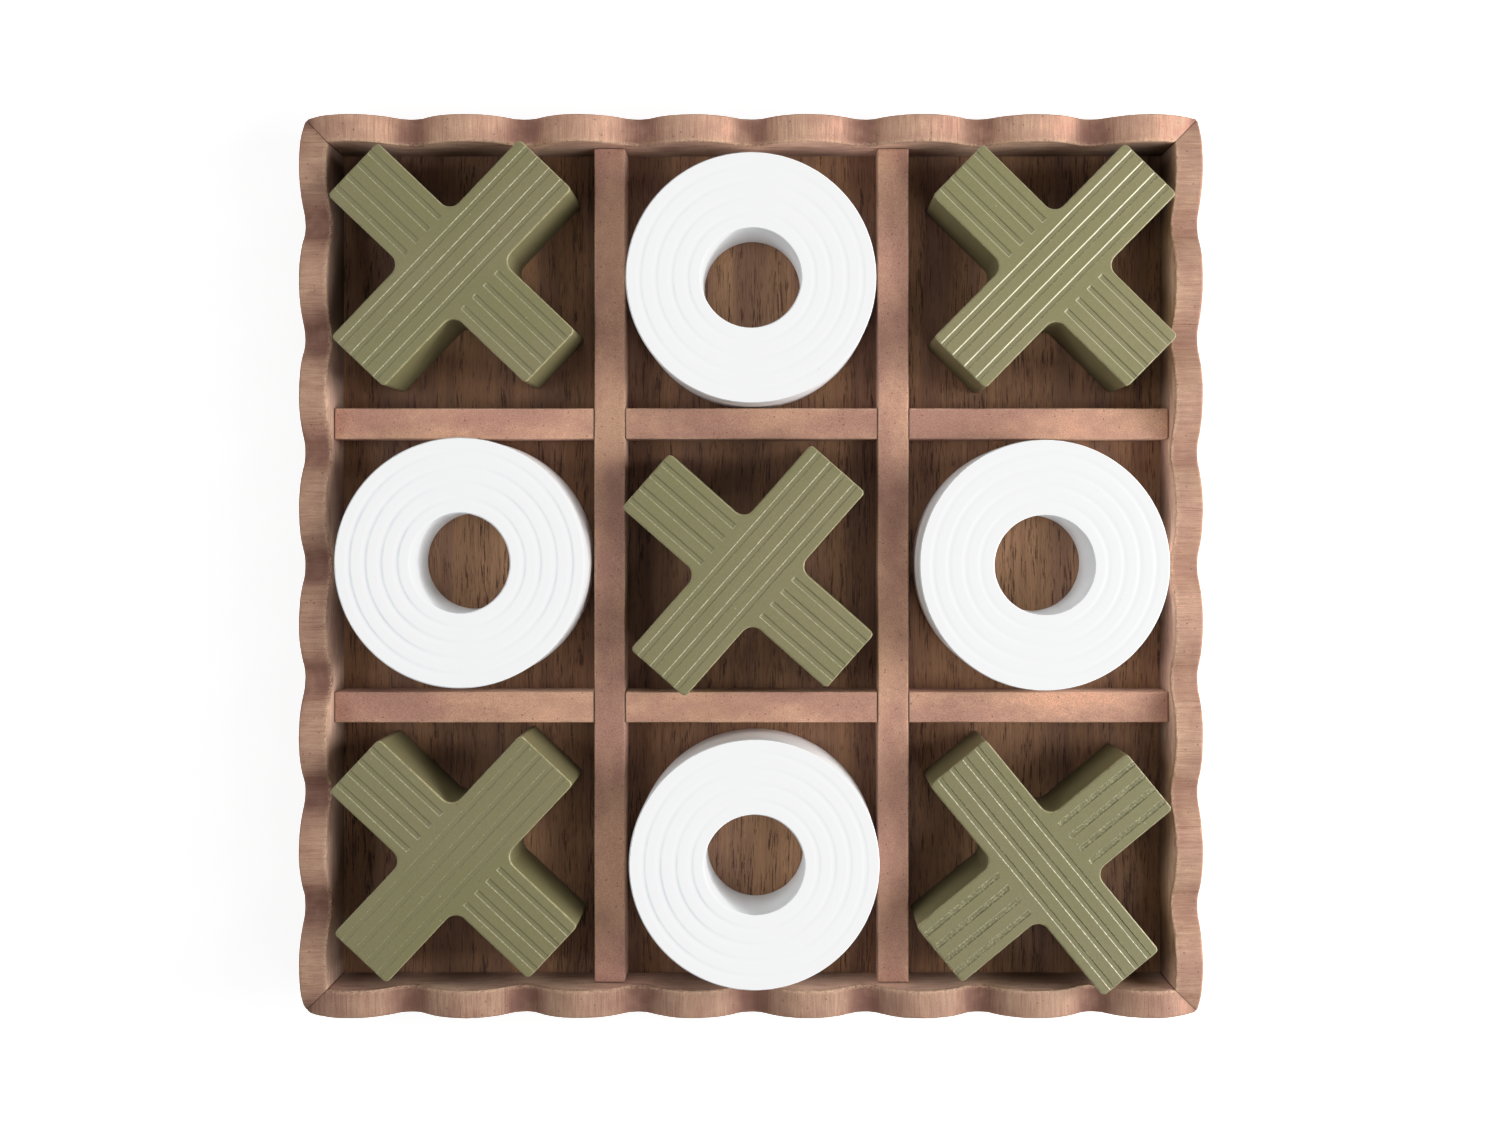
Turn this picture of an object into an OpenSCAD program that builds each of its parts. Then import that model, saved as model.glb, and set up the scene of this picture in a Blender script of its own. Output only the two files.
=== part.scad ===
// Noughts-and-crosses set: a square wooden tray with a scalloped rim, four
// half-lapped strips that divide it into nine cells, and nine chunky loose
// counters, five crosses and four rings, one resting in each cell.
//
// Frame: millimetres, +Z up, +Y towards the rear side board, +X to the right.
// The origin is the middle of the tray's underside, on the table.

/* [Tray] */
// Outside length of each side of the square tray
board_side = 304.8; // [296:0.1:330]
// Thickness of the four side boards
wall_t = 9.4; // [8:0.1:11]
// Height of the scallop crests above the table
rim_h = 28; // [26:0.1:40]
// Thickness of the base panel
base_t = 6.3; // [5:0.1:8]
// Depth of the rebate in the side boards that the base panel sits in
rebate_d = 5; // [3:0.1:6]
// Clearance between the base panel and the rebate, all round
panel_gap = 0.15; // [0.05:0.05:0.5]

/* [Scallops] */
// Number of scallops along each side
scallops = 8; // [6:1:10]
// How much of each end scallop the mitred corner cuts off
corner_cut = 2; // [0:0.1:3]
// Height from a valley to a crest
scallop_depth = 7.2; // [4:0.1:9]
// Share of the half pitch that the rounded valley takes up
valley_share = 0.25; // [0.15:0.01:0.4]

/* [Dividers] */
// Thickness of each dividing strip
divider_t = 10.5; // [8:0.1:12]
// Height of the dividing strips above the floor
divider_h = 12.4; // [10:0.1:13]
// Distance between the middles of two parallel strips
divider_pitch = 97.1; // [96:0.1:98]
// Clearance at each end of a strip and in each half-lap
divider_gap = 0.15; // [0.05:0.05:0.4]

/* [Crosses] */
// Length of each arm of a cross, end to end
cross_l = 90.8; // [86:0.1:91.4]
// Width of each arm of a cross
cross_w = 24.1; // [20:0.1:24.6]
// Radius of the four inside corners
cross_fillet = 4.2; // [2:0.1:6]
// Radius of the upright corners at the arm ends
cross_corner = 1.5; // [0.6:0.1:3]
// Distance from one groove to the next across an arm
cross_groove_pitch = 5.35; // [4.6:0.05:5.6]
// How far the short arms' grooves stop from the long arm
cross_groove_stop = 0.9; // [0.4:0.1:3]

/* [Rings] */
// Outside diameter of a ring
ring_od = 83.6; // [76:0.1:83.8]
// Diameter of the hole through a ring
ring_id = 33.3; // [28:0.1:40]
// Number of grooves around the top face
ring_grooves = 4; // [2:1:5]
// Distance from one groove to the next across the face
ring_groove_pitch = 5.3; // [3.4:0.05:5.6]

/* [Counters] */
// Thickness of the crosses and the rings
piece_h = 28; // [20:0.1:30]
// Width of a groove at the face
groove_w = 1.7; // [1:0.1:2.4]
// Depth of a groove
groove_d = 0.4; // [0.2:0.1:1.5]
// Gap left under each counter
rest_gap = 0.05; // [0.02:0.01:0.2]

/* [Brads] */
// Shank diameter of the brads
brad_d = 1.2; // [1:0.1:1.6]
// Head diameter of the brads
brad_head_d = 2; // [1.8:0.1:2.6]
// Length of the brads that pin the mitred corners
corner_brad_l = 22; // [16:1:28]
// Length of the brads that hold the base panel
base_brad_l = 16; // [12:1:17]

/* [Hidden] */

half_side = board_side / 2;
inner_face = half_side - wall_t;              // middle to inside of a side board
panel_half = inner_face + rebate_d - panel_gap;
floor_z = base_t;
divider_outer_face = (divider_pitch + divider_t) / 2;
outer_cell = (inner_face + divider_outer_face) / 2;  // middle of an outer cell
overcut = 1;                                  // how far a cutter runs past a face

stain = [0.66, 0.49, 0.42];
veneer = [0.47, 0.36, 0.28];
olive = [0.52, 0.50, 0.36];
chalk = [0.93, 0.94, 0.95];
steel = [0.62, 0.62, 0.64];

// ---- scalloped edge -------------------------------------------------------
// A crest arc and a valley arc meet at the same slope, so one turning angle
// fixes both radii.
edge_steps = 158;
scallop_pitch = (board_side + 2 * corner_cut) / scallops;
half_pitch = scallop_pitch / 2;
scallop_turn = 2 * atan(scallop_depth / half_pitch);
valley_half = half_pitch * valley_share;
crest_half = half_pitch - valley_half;
crest_r = crest_half / sin(scallop_turn);
valley_r = valley_half / sin(scallop_turn);
valley_z = rim_h - scallop_depth;

// Height of a circle's curve above its middle, at a distance off the middle
function arc_height(radius, off) = sqrt(radius * radius - off * off);

// Height of the edge at a distance from the middle of a crest
function edge_z(distance) =
    distance <= crest_half
        ? rim_h - crest_r + arc_height(crest_r, distance)
        : valley_z + valley_r - arc_height(valley_r, half_pitch - distance);

// Distance to the nearest crest from x. With an even number of scallops a
// valley falls in the middle of the side, with an odd number a crest.
function from_crest(x) =
    let (pitches = x / scallop_pitch + (scallops % 2 == 0 ? 0.5 : 0))
    abs(pitches - round(pitches)) * scallop_pitch;

edge_points = [for (i = [0 : edge_steps])
    let (x = -half_side + board_side * i / edge_steps)
    [x, edge_z(from_crest(x))]];

// ---- brads ----------------------------------------------------------------
brad_head_h = 0.8;
brad_facets = 24;
hole_slack = 0.04;                 // clearance around a brad in its hole
base_brad_xs = [-96, 0, 96];       // places along a side board
corner_brad_zs = [10.5, 17.5];     // heights above the table

// Brad along +Z, head at the bottom
module brad(length) {
    cylinder(d = brad_head_d, h = brad_head_h, $fn = brad_facets);
    cylinder(d = brad_d, h = length, $fn = brad_facets);
}

// Cutter for the hole of a brad, open below the head
module brad_hole(length) {
    translate([0, 0, -overcut])
        cylinder(d = brad_head_d + 2 * hole_slack,
                 h = overcut + brad_head_h + hole_slack, $fn = brad_facets);
    cylinder(d = brad_d + 2 * hole_slack, h = length + hole_slack, $fn = brad_facets);
}

// Up through the panel into the rear side board, clear of the corners
module at_rear_base_brads() {
    for (x = base_brad_xs)
        translate([x, inner_face + rebate_d / 2 - panel_gap, 0]) children();
}

module at_base_brads() {
    for (angle = [0 : 90 : 270])
        rotate([0, 0, angle]) at_rear_base_brads() children();
}

// Through the left and right boards into the ends of the front and rear ones
module at_corner_brads() {
    for (side_x = [-1, 1])
        for (side_y = [-1, 1])
            for (z = corner_brad_zs)
                translate([side_x * half_side, side_y * (half_side - wall_t / 2), z])
                    rotate([0, -side_x * 90, 0]) children();
}

module corner_brads() { color(steel) at_corner_brads() brad(corner_brad_l); }
module base_brads() { color(steel) at_base_brads() brad(base_brad_l); }

// ---- tray -----------------------------------------------------------------
module base_panel() {
    color(veneer) difference() {
        translate([-panel_half, -panel_half, 0])
            cube([2 * panel_half, 2 * panel_half, base_t]);
        at_base_brads() brad_hole(base_brad_l);
    }
}

// Rear side board, along X. Its ends are mitred at 45 degrees and its lower
// inside edge is rebated for the panel.
module side_board() {
    miter_inner = inner_face - overcut;
    difference() {
        intersection() {
            translate([0, half_side, 0])
                rotate([90, 0, 0])
                    linear_extrude(height = wall_t)
                        polygon(concat([[-half_side, 0]], edge_points, [[half_side, 0]]));
            translate([0, 0, -overcut])
                linear_extrude(height = rim_h + 2 * overcut)
                    polygon([[-half_side, half_side], [half_side, half_side],
                             [miter_inner, miter_inner], [-miter_inner, miter_inner]]);
        }
        translate([-half_side, inner_face - overcut, -overcut])
            cube([board_side, rebate_d + overcut, base_t + overcut]);
        at_rear_base_brads() brad_hole(base_brad_l);
    }
}

// Side board turned anticlockwise from the rear, with its corner brad holes
module wall(turn) {
    difference() {
        rotate([0, 0, turn]) side_board();
        at_corner_brads() brad_hole(corner_brad_l);
    }
}

module wall_rear() { color(stain) wall(0); }
module wall_left() { color(stain) wall(90); }
module wall_front() { color(stain) wall(180); }
module wall_right() { color(stain) wall(270); }

// ---- dividers -------------------------------------------------------------
// A strip along Y, standing on the floor, with two half-lap notches that open
// upwards or downwards
module strip(notch_up) {
    length = 2 * (inner_face - divider_gap);
    notch_w = divider_t + 2 * divider_gap;
    lap_z = floor_z + divider_h / 2;
    notch_z = notch_up ? lap_z - divider_gap / 2 : floor_z - overcut;
    notch_h = divider_h / 2 + overcut + (notch_up ? 0 : divider_gap / 2);
    difference() {
        translate([-divider_t / 2, -length / 2, floor_z])
            cube([divider_t, length, divider_h]);
        for (side = [-1, 1])
            translate([-divider_t, side * divider_pitch / 2 - notch_w / 2, notch_z])
                cube([2 * divider_t, notch_w, notch_h]);
    }
}

// Front-to-back strip, on the left (-1) or the right (1)
module lengthways_strip(side) {
    translate([side * divider_pitch / 2, 0, 0]) strip(notch_up = false);
}

// Left-to-right strip, at the front (-1) or the rear (1)
module crossways_strip(side) {
    translate([0, side * divider_pitch / 2, 0])
        rotate([0, 0, 90]) strip(notch_up = true);
}

module divider_left() { color(stain) lengthways_strip(-1); }
module divider_right() { color(stain) lengthways_strip(1); }
module divider_front() { color(stain) crossways_strip(-1); }
module divider_rear() { color(stain) crossways_strip(1); }

// ---- crosses --------------------------------------------------------------
arc_steps = 6;
cross_grooves = 4;     // side by side on each arm
groove_overcut = 0.01; // how far a groove cutter rises above the top face

function arc(centre, radius, start, end) =
    [for (i = [0 : arc_steps])
        let (angle = start + (end - start) * i / arc_steps)
        centre + radius * [cos(angle), sin(angle)]];

function turned(points, angle) =
    [for (point = points)
        [point.x * cos(angle) - point.y * sin(angle),
         point.x * sin(angle) + point.y * cos(angle)]];

// One quarter of the outline: the end of the +X arm, then the inside corner
// up to the next arm
function cross_quarter() =
    let (corner_x = cross_l / 2 - cross_corner,
         corner_y = cross_w / 2 - cross_corner,
         fillet_xy = cross_w / 2 + cross_fillet)
    concat(arc([corner_x, -corner_y], cross_corner, -90, 0),
           arc([corner_x, corner_y], cross_corner, 0, 90),
           arc([fillet_xy, fillet_xy], cross_fillet, 270, 180));

// Cutters for parallel shallow grooves with sloping sides, along +X
module arm_grooves(start_x, end_x) {
    middle = (cross_grooves - 1) / 2;
    top_z = piece_h + groove_overcut;
    bottom_z = piece_h - groove_d;
    for (i = [0 : cross_grooves - 1])
        translate([start_x, (i - middle) * cross_groove_pitch, 0])
            rotate([90, 0, 90])
                linear_extrude(height = end_x - start_x)
                    polygon([[-groove_w / 2, top_z], [-groove_w / 3, bottom_z],
                             [groove_w / 3, bottom_z], [groove_w / 2, top_z]]);
}

// Cross whose grooves run unbroken along X and stop short of that arm along Y
module cross_piece() {
    difference() {
        linear_extrude(height = piece_h)
            polygon([for (i = [0 : 3]) each turned(cross_quarter(), 90 * i)]);
        arm_grooves(-cross_l, cross_l);
        for (angle = [90, 270])
            rotate([0, 0, angle])
                arm_grooves(cross_w / 2 + cross_groove_stop, cross_l);
    }
}

// ---- rings ----------------------------------------------------------------
ring_chamfer = 0.6;
ring_margin = 1;       // least distance from a groove to the edge of the ring

// Ring with evenly spaced grooves in its top face
module ring_piece() {
    hole_r = ring_id / 2;
    outer_r = ring_od / 2;
    groove_room = outer_r - hole_r - groove_w - 2 * ring_margin;
    step = min(ring_groove_pitch, groove_room / (ring_grooves - 1));
    first_r = (outer_r + hole_r) / 2 - step * (ring_grooves - 1) / 2;
    groove_points = [for (i = [0 : ring_grooves - 1])
        let (r = first_r + i * step)
        each [[r - groove_w / 2, piece_h], [r - groove_w / 6, piece_h - groove_d],
              [r + groove_w / 6, piece_h - groove_d], [r + groove_w / 2, piece_h]]];
    rotate_extrude($fn = 96)
        polygon(concat(
            [[hole_r, ring_chamfer], [hole_r, piece_h - ring_chamfer],
             [hole_r + ring_chamfer, piece_h]],
            groove_points,
            [[outer_r - ring_chamfer, piece_h], [outer_r, piece_h - ring_chamfer],
             [outer_r, ring_chamfer], [outer_r - ring_chamfer, 0],
             [hole_r + ring_chamfer, 0]]));
}

// ---- counters in their cells ----------------------------------------------
// Puts a counter on the floor, turned and shifted from the middle of a cell.
// cell is [column, row], each -1, 0 or 1, towards +X and +Y.
module rest(cell, shift, turn) {
    place = cell * outer_cell + shift;
    translate([place.x, place.y, floor_z + rest_gap])
        rotate([0, 0, turn]) children();
}

module x_rear_left() { color(olive) rest([-1, 1], [-1.1, 2.6], 46.4) cross_piece(); }
module x_rear_right() { color(olive) rest([1, 1], [2.9, 1.7], 45.5) cross_piece(); }
module x_centre() { color(olive) rest([0, 0], [-0.9, -1.4], 48.6) cross_piece(); }
module x_front_left() { color(olive) rest([-1, -1], [-0.4, 1.2], 46.8) cross_piece(); }
module x_front_right() { color(olive) rest([1, -1], [-0.7, -1.8], -50.5) cross_piece(); }
module o_rear_centre() { color(chalk) rest([0, 1], [0.1, -2.2], 15) ring_piece(); }
module o_mid_left() { color(chalk) rest([-1, 0], [1.6, 1.2], 100) ring_piece(); }
module o_mid_right() { color(chalk) rest([1, 0], [-0.6, 0.5], 230) ring_piece(); }
module o_front_centre() { color(chalk) rest([0, -1], [1.2, -0.8], 320) ring_piece(); }

base_panel();
wall_front();
wall_rear();
wall_left();
wall_right();
divider_left();
divider_right();
divider_front();
divider_rear();
x_rear_left();
x_rear_right();
x_centre();
x_front_left();
x_front_right();
o_rear_centre();
o_mid_left();
o_mid_right();
o_front_centre();
corner_brads();
base_brads();
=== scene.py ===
"""A noughts-and-crosses tray: a mitred wooden frame with a scalloped top, strips that divide
its veneered floor into nine cells, five olive crosses and four white rings.

The tray stands on z = 0 and is centred on the Z axis. Right is +X, rear is +Y.
Sizes are in millimetres, and meshes are scaled to metres as they are made. The floor, lights
and camera are in metres.
"""
import itertools
import math
import bmesh
import bpy
import numpy as np
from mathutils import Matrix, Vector
from mathutils.geometry import delaunay_2d_cdt


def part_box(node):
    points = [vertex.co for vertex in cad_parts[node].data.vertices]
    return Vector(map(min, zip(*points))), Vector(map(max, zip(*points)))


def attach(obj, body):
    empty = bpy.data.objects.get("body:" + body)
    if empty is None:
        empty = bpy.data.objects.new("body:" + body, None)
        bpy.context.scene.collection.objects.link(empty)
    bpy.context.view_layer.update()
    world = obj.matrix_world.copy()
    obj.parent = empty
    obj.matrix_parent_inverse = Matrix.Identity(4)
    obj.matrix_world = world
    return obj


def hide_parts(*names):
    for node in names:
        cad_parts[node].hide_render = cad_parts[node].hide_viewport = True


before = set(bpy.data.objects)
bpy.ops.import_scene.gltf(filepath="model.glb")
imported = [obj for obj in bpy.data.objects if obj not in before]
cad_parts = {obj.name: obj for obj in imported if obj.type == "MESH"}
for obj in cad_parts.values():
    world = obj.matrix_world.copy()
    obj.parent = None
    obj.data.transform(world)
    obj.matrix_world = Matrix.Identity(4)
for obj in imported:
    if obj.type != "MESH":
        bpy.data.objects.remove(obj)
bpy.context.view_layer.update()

MM = 0.001


def box_mm(node):
    low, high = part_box(node)
    return np.array(low) / MM, np.array(high) / MM


# ---- sizes, read from the frame ---------------------------------------------
REAR_LOW, REAR_HIGH = box_mm("wall_rear")
PANEL_LOW, PANEL_HIGH = box_mm("base_panel")
TRAY_HALF = REAR_HIGH[1]  # outside faces of the side boards
WALL = REAR_HIGH[1] - REAR_LOW[1]
RIM = REAR_HIGH[2]
FLOOR = PANEL_HIGH[2]
REBATE = PANEL_HIGH[0] + 0.15  # face of the rebate that the panel's edge sits against


# ---- deterministic noise ----------------------------------------------------
def lattice_hash(x, y, z, seed):
    value = (x * 73856093) ^ (y * 19349663) ^ (z * 83492791) ^ (seed * 15485863)
    value = (value ^ (value >> 13)) & 0x7FFFFFFF
    value = (value * 1274126177) & 0x7FFFFFFF
    value = (value ^ (value >> 16)) & 0x7FFFFFFF
    value = (value * 668265263) & 0x7FFFFFFF
    value = value ^ (value >> 15)
    return (value & 0xFFFFFF) / float(0xFFFFFF) * 2.0 - 1.0


def noise(x, y, z, seed):
    """Smooth lattice noise from -1 to 1."""
    point = np.array(np.broadcast_arrays(x, y, z), float)
    cell = np.floor(point).astype(np.int64)
    part = point - cell
    part = part * part * (3 - 2 * part)
    total = np.zeros(point.shape[1:])
    for corner in itertools.product((0, 1), repeat=3):
        weight_x, weight_y, weight_z = (p if step else 1 - p for p, step in zip(part, corner))
        value = lattice_hash(*(c + step for c, step in zip(cell, corner)), seed)
        total += weight_x * weight_y * weight_z * value
    return total


def smooth(start, end, value):
    """Eased step from 0 at start to 1 at end; start may be the larger."""
    share = np.clip((value - start) / (end - start), 0, 1)
    return share * share * (3 - 2 * share)


# ---- mesh helpers -----------------------------------------------------------
def grid_faces(rows, columns, wrap=False, base=0):
    """Quads of a grid whose vertex (row, column) is number base + row * columns + column."""
    row = np.arange(rows - 1)[:, None]
    column = np.arange(columns if wrap else columns - 1)[None, :]
    after = (column + 1) % columns
    corners = [
        row * columns + column,
        row * columns + after,
        (row + 1) * columns + after,
        (row + 1) * columns + column,
    ]
    return (np.stack(corners, -1).reshape(-1, 4) + base).tolist()


def bar_faces(sections, points):
    """A closed section swept along a bar, with both ends capped."""
    caps = [list(range(points)), [(sections - 1) * points + k for k in range(points)][::-1]]
    return grid_faces(sections, points, wrap=True) + caps


def quarter(steps, parts):
    """(1 - cos, 1 - sin) at each of the steps of a quarter turn divided into parts."""
    angles = [math.radians(90 * k / parts) for k in steps]
    return [(1 - math.cos(a), 1 - math.sin(a)) for a in angles]


def new_object(name, verts, faces):
    mesh = bpy.data.meshes.new(name)
    mesh.from_pydata((np.asarray(verts, float) * MM).tolist(), [], faces)
    mesh.update()
    edit = bmesh.new()
    edit.from_mesh(mesh)
    bmesh.ops.recalc_face_normals(edit, faces=edit.faces)
    edit.to_mesh(mesh)
    edit.free()
    ob = bpy.data.objects.new(name, mesh)
    bpy.context.scene.collection.objects.link(ob)
    return ob


def coords(ob):
    flat = np.zeros(len(ob.data.vertices) * 3, np.float32)
    ob.data.vertices.foreach_get("co", flat)
    return flat.reshape(-1, 3).astype(float) / MM


def joined(solids):
    """Several (verts, faces) solids as one."""
    all_verts, all_faces, base = [], [], 0
    for verts, faces in solids:
        all_verts.append(np.asarray(verts, float))
        all_faces += [[i + base for i in face] for face in faces]
        base += len(verts)
    return np.concatenate(all_verts), all_faces


def cut(ob, solids):
    """Takes closed solids out of ob."""
    cutter = new_object("cutter", *joined(solids))
    before = len(ob.data.vertices)
    # the exact solver is there in case the manifold one loses much of the mesh
    for solver in ("MANIFOLD", "EXACT"):
        boolean = ob.modifiers.new("cut", "BOOLEAN")
        boolean.object, boolean.operation, boolean.solver = cutter, "DIFFERENCE", solver
        bpy.context.view_layer.update()
        depsgraph = bpy.context.evaluated_depsgraph_get()
        made = bpy.data.meshes.new_from_object(ob.evaluated_get(depsgraph))
        ob.modifiers.clear()
        if len(made.vertices) > before * 0.6:
            break
    old, ob.data = ob.data, made
    name = old.name
    bpy.data.meshes.remove(old)
    made.name = name
    mesh = cutter.data
    bpy.data.objects.remove(cutter)
    bpy.data.meshes.remove(mesh)


def lathe(profile, segments):
    """Solid turned about +Z from (radius, z) points, first and last on the axis."""
    angles = np.arange(segments) / segments * 2 * math.pi
    verts = [[0, 0, profile[0][1]]]
    for r, z in profile[1:-1]:
        verts += [[r * math.cos(a), r * math.sin(a), z] for a in angles]
    verts.append([0, 0, profile[-1][1]])
    rings = len(profile) - 2
    last = 1 + (rings - 1) * segments
    faces = [[0, 1 + (i + 1) % segments, 1 + i] for i in range(segments)]
    faces += grid_faces(rings, segments, wrap=True, base=1)
    faces += [[last + i, last + (i + 1) % segments, len(verts) - 1] for i in range(segments)]
    return np.array(verts), faces


def block(low, high):
    xs, ys, zs = zip(low, high)
    verts = [[x, y, z] for z in zs for y in ys for x in xs]
    faces = [[0, 2, 3, 1], [4, 5, 7, 6], [0, 1, 5, 4], [2, 6, 7, 3], [0, 4, 6, 2], [1, 3, 7, 5]]
    return np.array(verts, float), faces


def turned(verts, degrees):
    """Points turned about Z."""
    angle = math.radians(degrees)
    cos, sin = math.cos(angle), math.sin(angle)
    x, y, z = np.asarray(verts, float).T
    return np.stack([x * cos - y * sin, x * sin + y * cos, z], -1)


def finish_piece(ob, material, body, node, attributes, sharp=38):
    """Shading, attributes and material of a piece, and what the frame needs to know."""
    mesh = ob.data
    mesh.polygons.foreach_set("use_smooth", np.ones(len(mesh.polygons), bool))
    mesh.set_sharp_from_angle(angle=math.radians(sharp))
    for name, values in attributes.items():
        kind, field = ("FLOAT_VECTOR", "vector") if np.ndim(values) == 2 else ("FLOAT", "value")
        layer = mesh.attributes.new(name, kind, "POINT")
        layer.data.foreach_set(field, np.asarray(values, np.float32).ravel())
    mesh.materials.clear()
    mesh.materials.append(material)
    normals = ob.modifiers.new("normals", "WEIGHTED_NORMAL")
    normals.keep_sharp = True
    normals.weight = 50
    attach(ob, body)
    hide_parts(node)


# ---- node helpers -----------------------------------------------------------
def triple(value):
    return value if isinstance(value, tuple) else (value,) * 3


class MaterialGraph:
    """Builds a material's nodes. An input may be a number, a colour or another socket."""

    def __init__(self, name, seed=0.0):
        self.material = bpy.data.materials.new(name)
        self.material.use_nodes = True
        self.tree = self.material.node_tree
        self.tree.nodes.clear()
        self.seed = seed  # added to the seed of every texture

    def node(self, kind, inputs=None, **settings):
        node = self.tree.nodes.new(kind)
        for key, value in settings.items():
            setattr(node, key, value)
        for key, value in (inputs or {}).items():
            socket = node.inputs[key]
            if isinstance(value, bpy.types.NodeSocket):
                self.tree.links.new(value, socket)
            else:
                short_color = socket.type == "RGBA" and len(value) == 3
                socket.default_value = (*value, 1.0) if short_color else value
        return node

    def attribute(self, name, output="Fac"):
        return self.node("ShaderNodeAttribute", attribute_name=name).outputs[output]

    def math(self, operation, first, second):
        return self.node("ShaderNodeMath", {0: first, 1: second}, operation=operation).outputs[0]

    def plus(self, first, second):
        return self.math("ADD", first, second)

    def times(self, first, second):
        return self.math("MULTIPLY", first, second)

    def power(self, value, exponent):
        return self.math("POWER", value, exponent)

    def weighted(self, first, second, weights):
        return self.plus(self.times(first, weights[0]), self.times(second, weights[1]))

    def multiply_add(self, vector, by, shift):
        inputs = {0: vector, 1: by, 2: shift}
        return self.node("ShaderNodeVectorMath", inputs, operation="MULTIPLY_ADD").outputs[0]

    def placed(self, vector, scale, seed):
        """Texture coordinates at a scale, shifted by the seed."""
        seed += self.seed
        return self.multiply_add(vector, triple(scale), (seed, seed * 1.7, seed * 2.3))

    def noise(self, vector, scale, detail=2, rough=0.5, seed=0.0):
        inputs = {
            "Vector": self.placed(vector, scale, seed),
            "Scale": 1,
            "Detail": detail,
            "Roughness": rough,
        }
        return self.node("ShaderNodeTexNoise", inputs, noise_dimensions="3D").outputs["Fac"]

    def warp(self, vector, scale, amount, seed=0.0):
        """The vector moved about by noise; amount is in the vector's own units."""
        spot = self.multiply_add(vector, (scale,) * 3, (seed + self.seed,) * 3)
        inputs = {"Vector": spot, "Scale": 1, "Detail": 1}
        cloud = self.node("ShaderNodeTexNoise", inputs, noise_dimensions="3D")
        move = self.multiply_add(cloud.outputs["Color"], (2 * amount,) * 3, (-amount,) * 3)
        inputs = {0: vector, 1: move}
        return self.node("ShaderNodeVectorMath", inputs, operation="ADD").outputs[0]

    def cells(self, vector, scale, seed):
        """Distance to the nearest of scattered points."""
        inputs = {"Vector": self.placed(vector, scale, seed), "Scale": 1}
        return self.node("ShaderNodeTexVoronoi", inputs, feature="F1").outputs["Distance"]

    def ramp(self, value, span, to=(0.0, 1.0), kind="SMOOTHSTEP"):
        """Maps the input span, which may run downwards, to the output range."""
        inputs = {
            "Value": value,
            "From Min": span[0],
            "From Max": span[1],
            "To Min": to[0],
            "To Max": to[1],
        }
        node = self.node("ShaderNodeMapRange", inputs, interpolation_type=kind, clamp=True)
        return node.outputs["Result"]

    def linear(self, value, span, to):
        return self.ramp(value, span, to, "LINEAR")

    # a Mix node's sockets are numbered: 2 and 3 take floats, 6 and 7 take colours
    def mix(self, share, first, second, blend="MIX"):
        inputs = {0: share, 6: first, 7: second}
        settings = {"data_type": "RGBA", "blend_type": blend, "clamp_factor": True}
        return self.node("ShaderNodeMix", inputs, **settings).outputs[2]

    def fade(self, share, low, high):
        """A value going from low to high as share goes from 0 to 1."""
        inputs = {0: share, 2: low, 3: high}
        return self.node("ShaderNodeMix", inputs, data_type="FLOAT", clamp_factor=True).outputs[0]

    def overlay(self, color, over, where, amount):
        return self.mix(self.times(where, amount), color, over)

    def multiply(self, color, by):
        return self.mix(1.0, color, by, "MULTIPLY")

    def combine(self, red, green, blue):
        return self.node("ShaderNodeCombineColor", {0: red, 1: green, 2: blue}).outputs[0]

    def bump(self, height, distance, strength):
        """Distance is in metres."""
        inputs = {"Strength": strength, "Distance": distance, "Height": height}
        return self.node("ShaderNodeBump", inputs).outputs["Normal"]

    def finish(self, **inputs):
        """Principled shader; inputs are its sockets' names with _ for spaces."""
        inputs = {key.replace("_", " "): value for key, value in inputs.items()}
        shader = self.node("ShaderNodeBsdfPrincipled", inputs)
        self.node("ShaderNodeOutputMaterial", {0: shader.outputs[0]})
        return self.material


def srgb(*channels):
    """Linear colour from 8-bit sRGB channels."""
    values = [v / 255.0 for v in channels]
    return tuple(v / 12.92 if v <= 0.04045 else ((v + 0.055) / 1.055) ** 2.4 for v in values)


def tinted(color, by):
    return tuple(c * b for c, b in zip(color, by))


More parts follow.
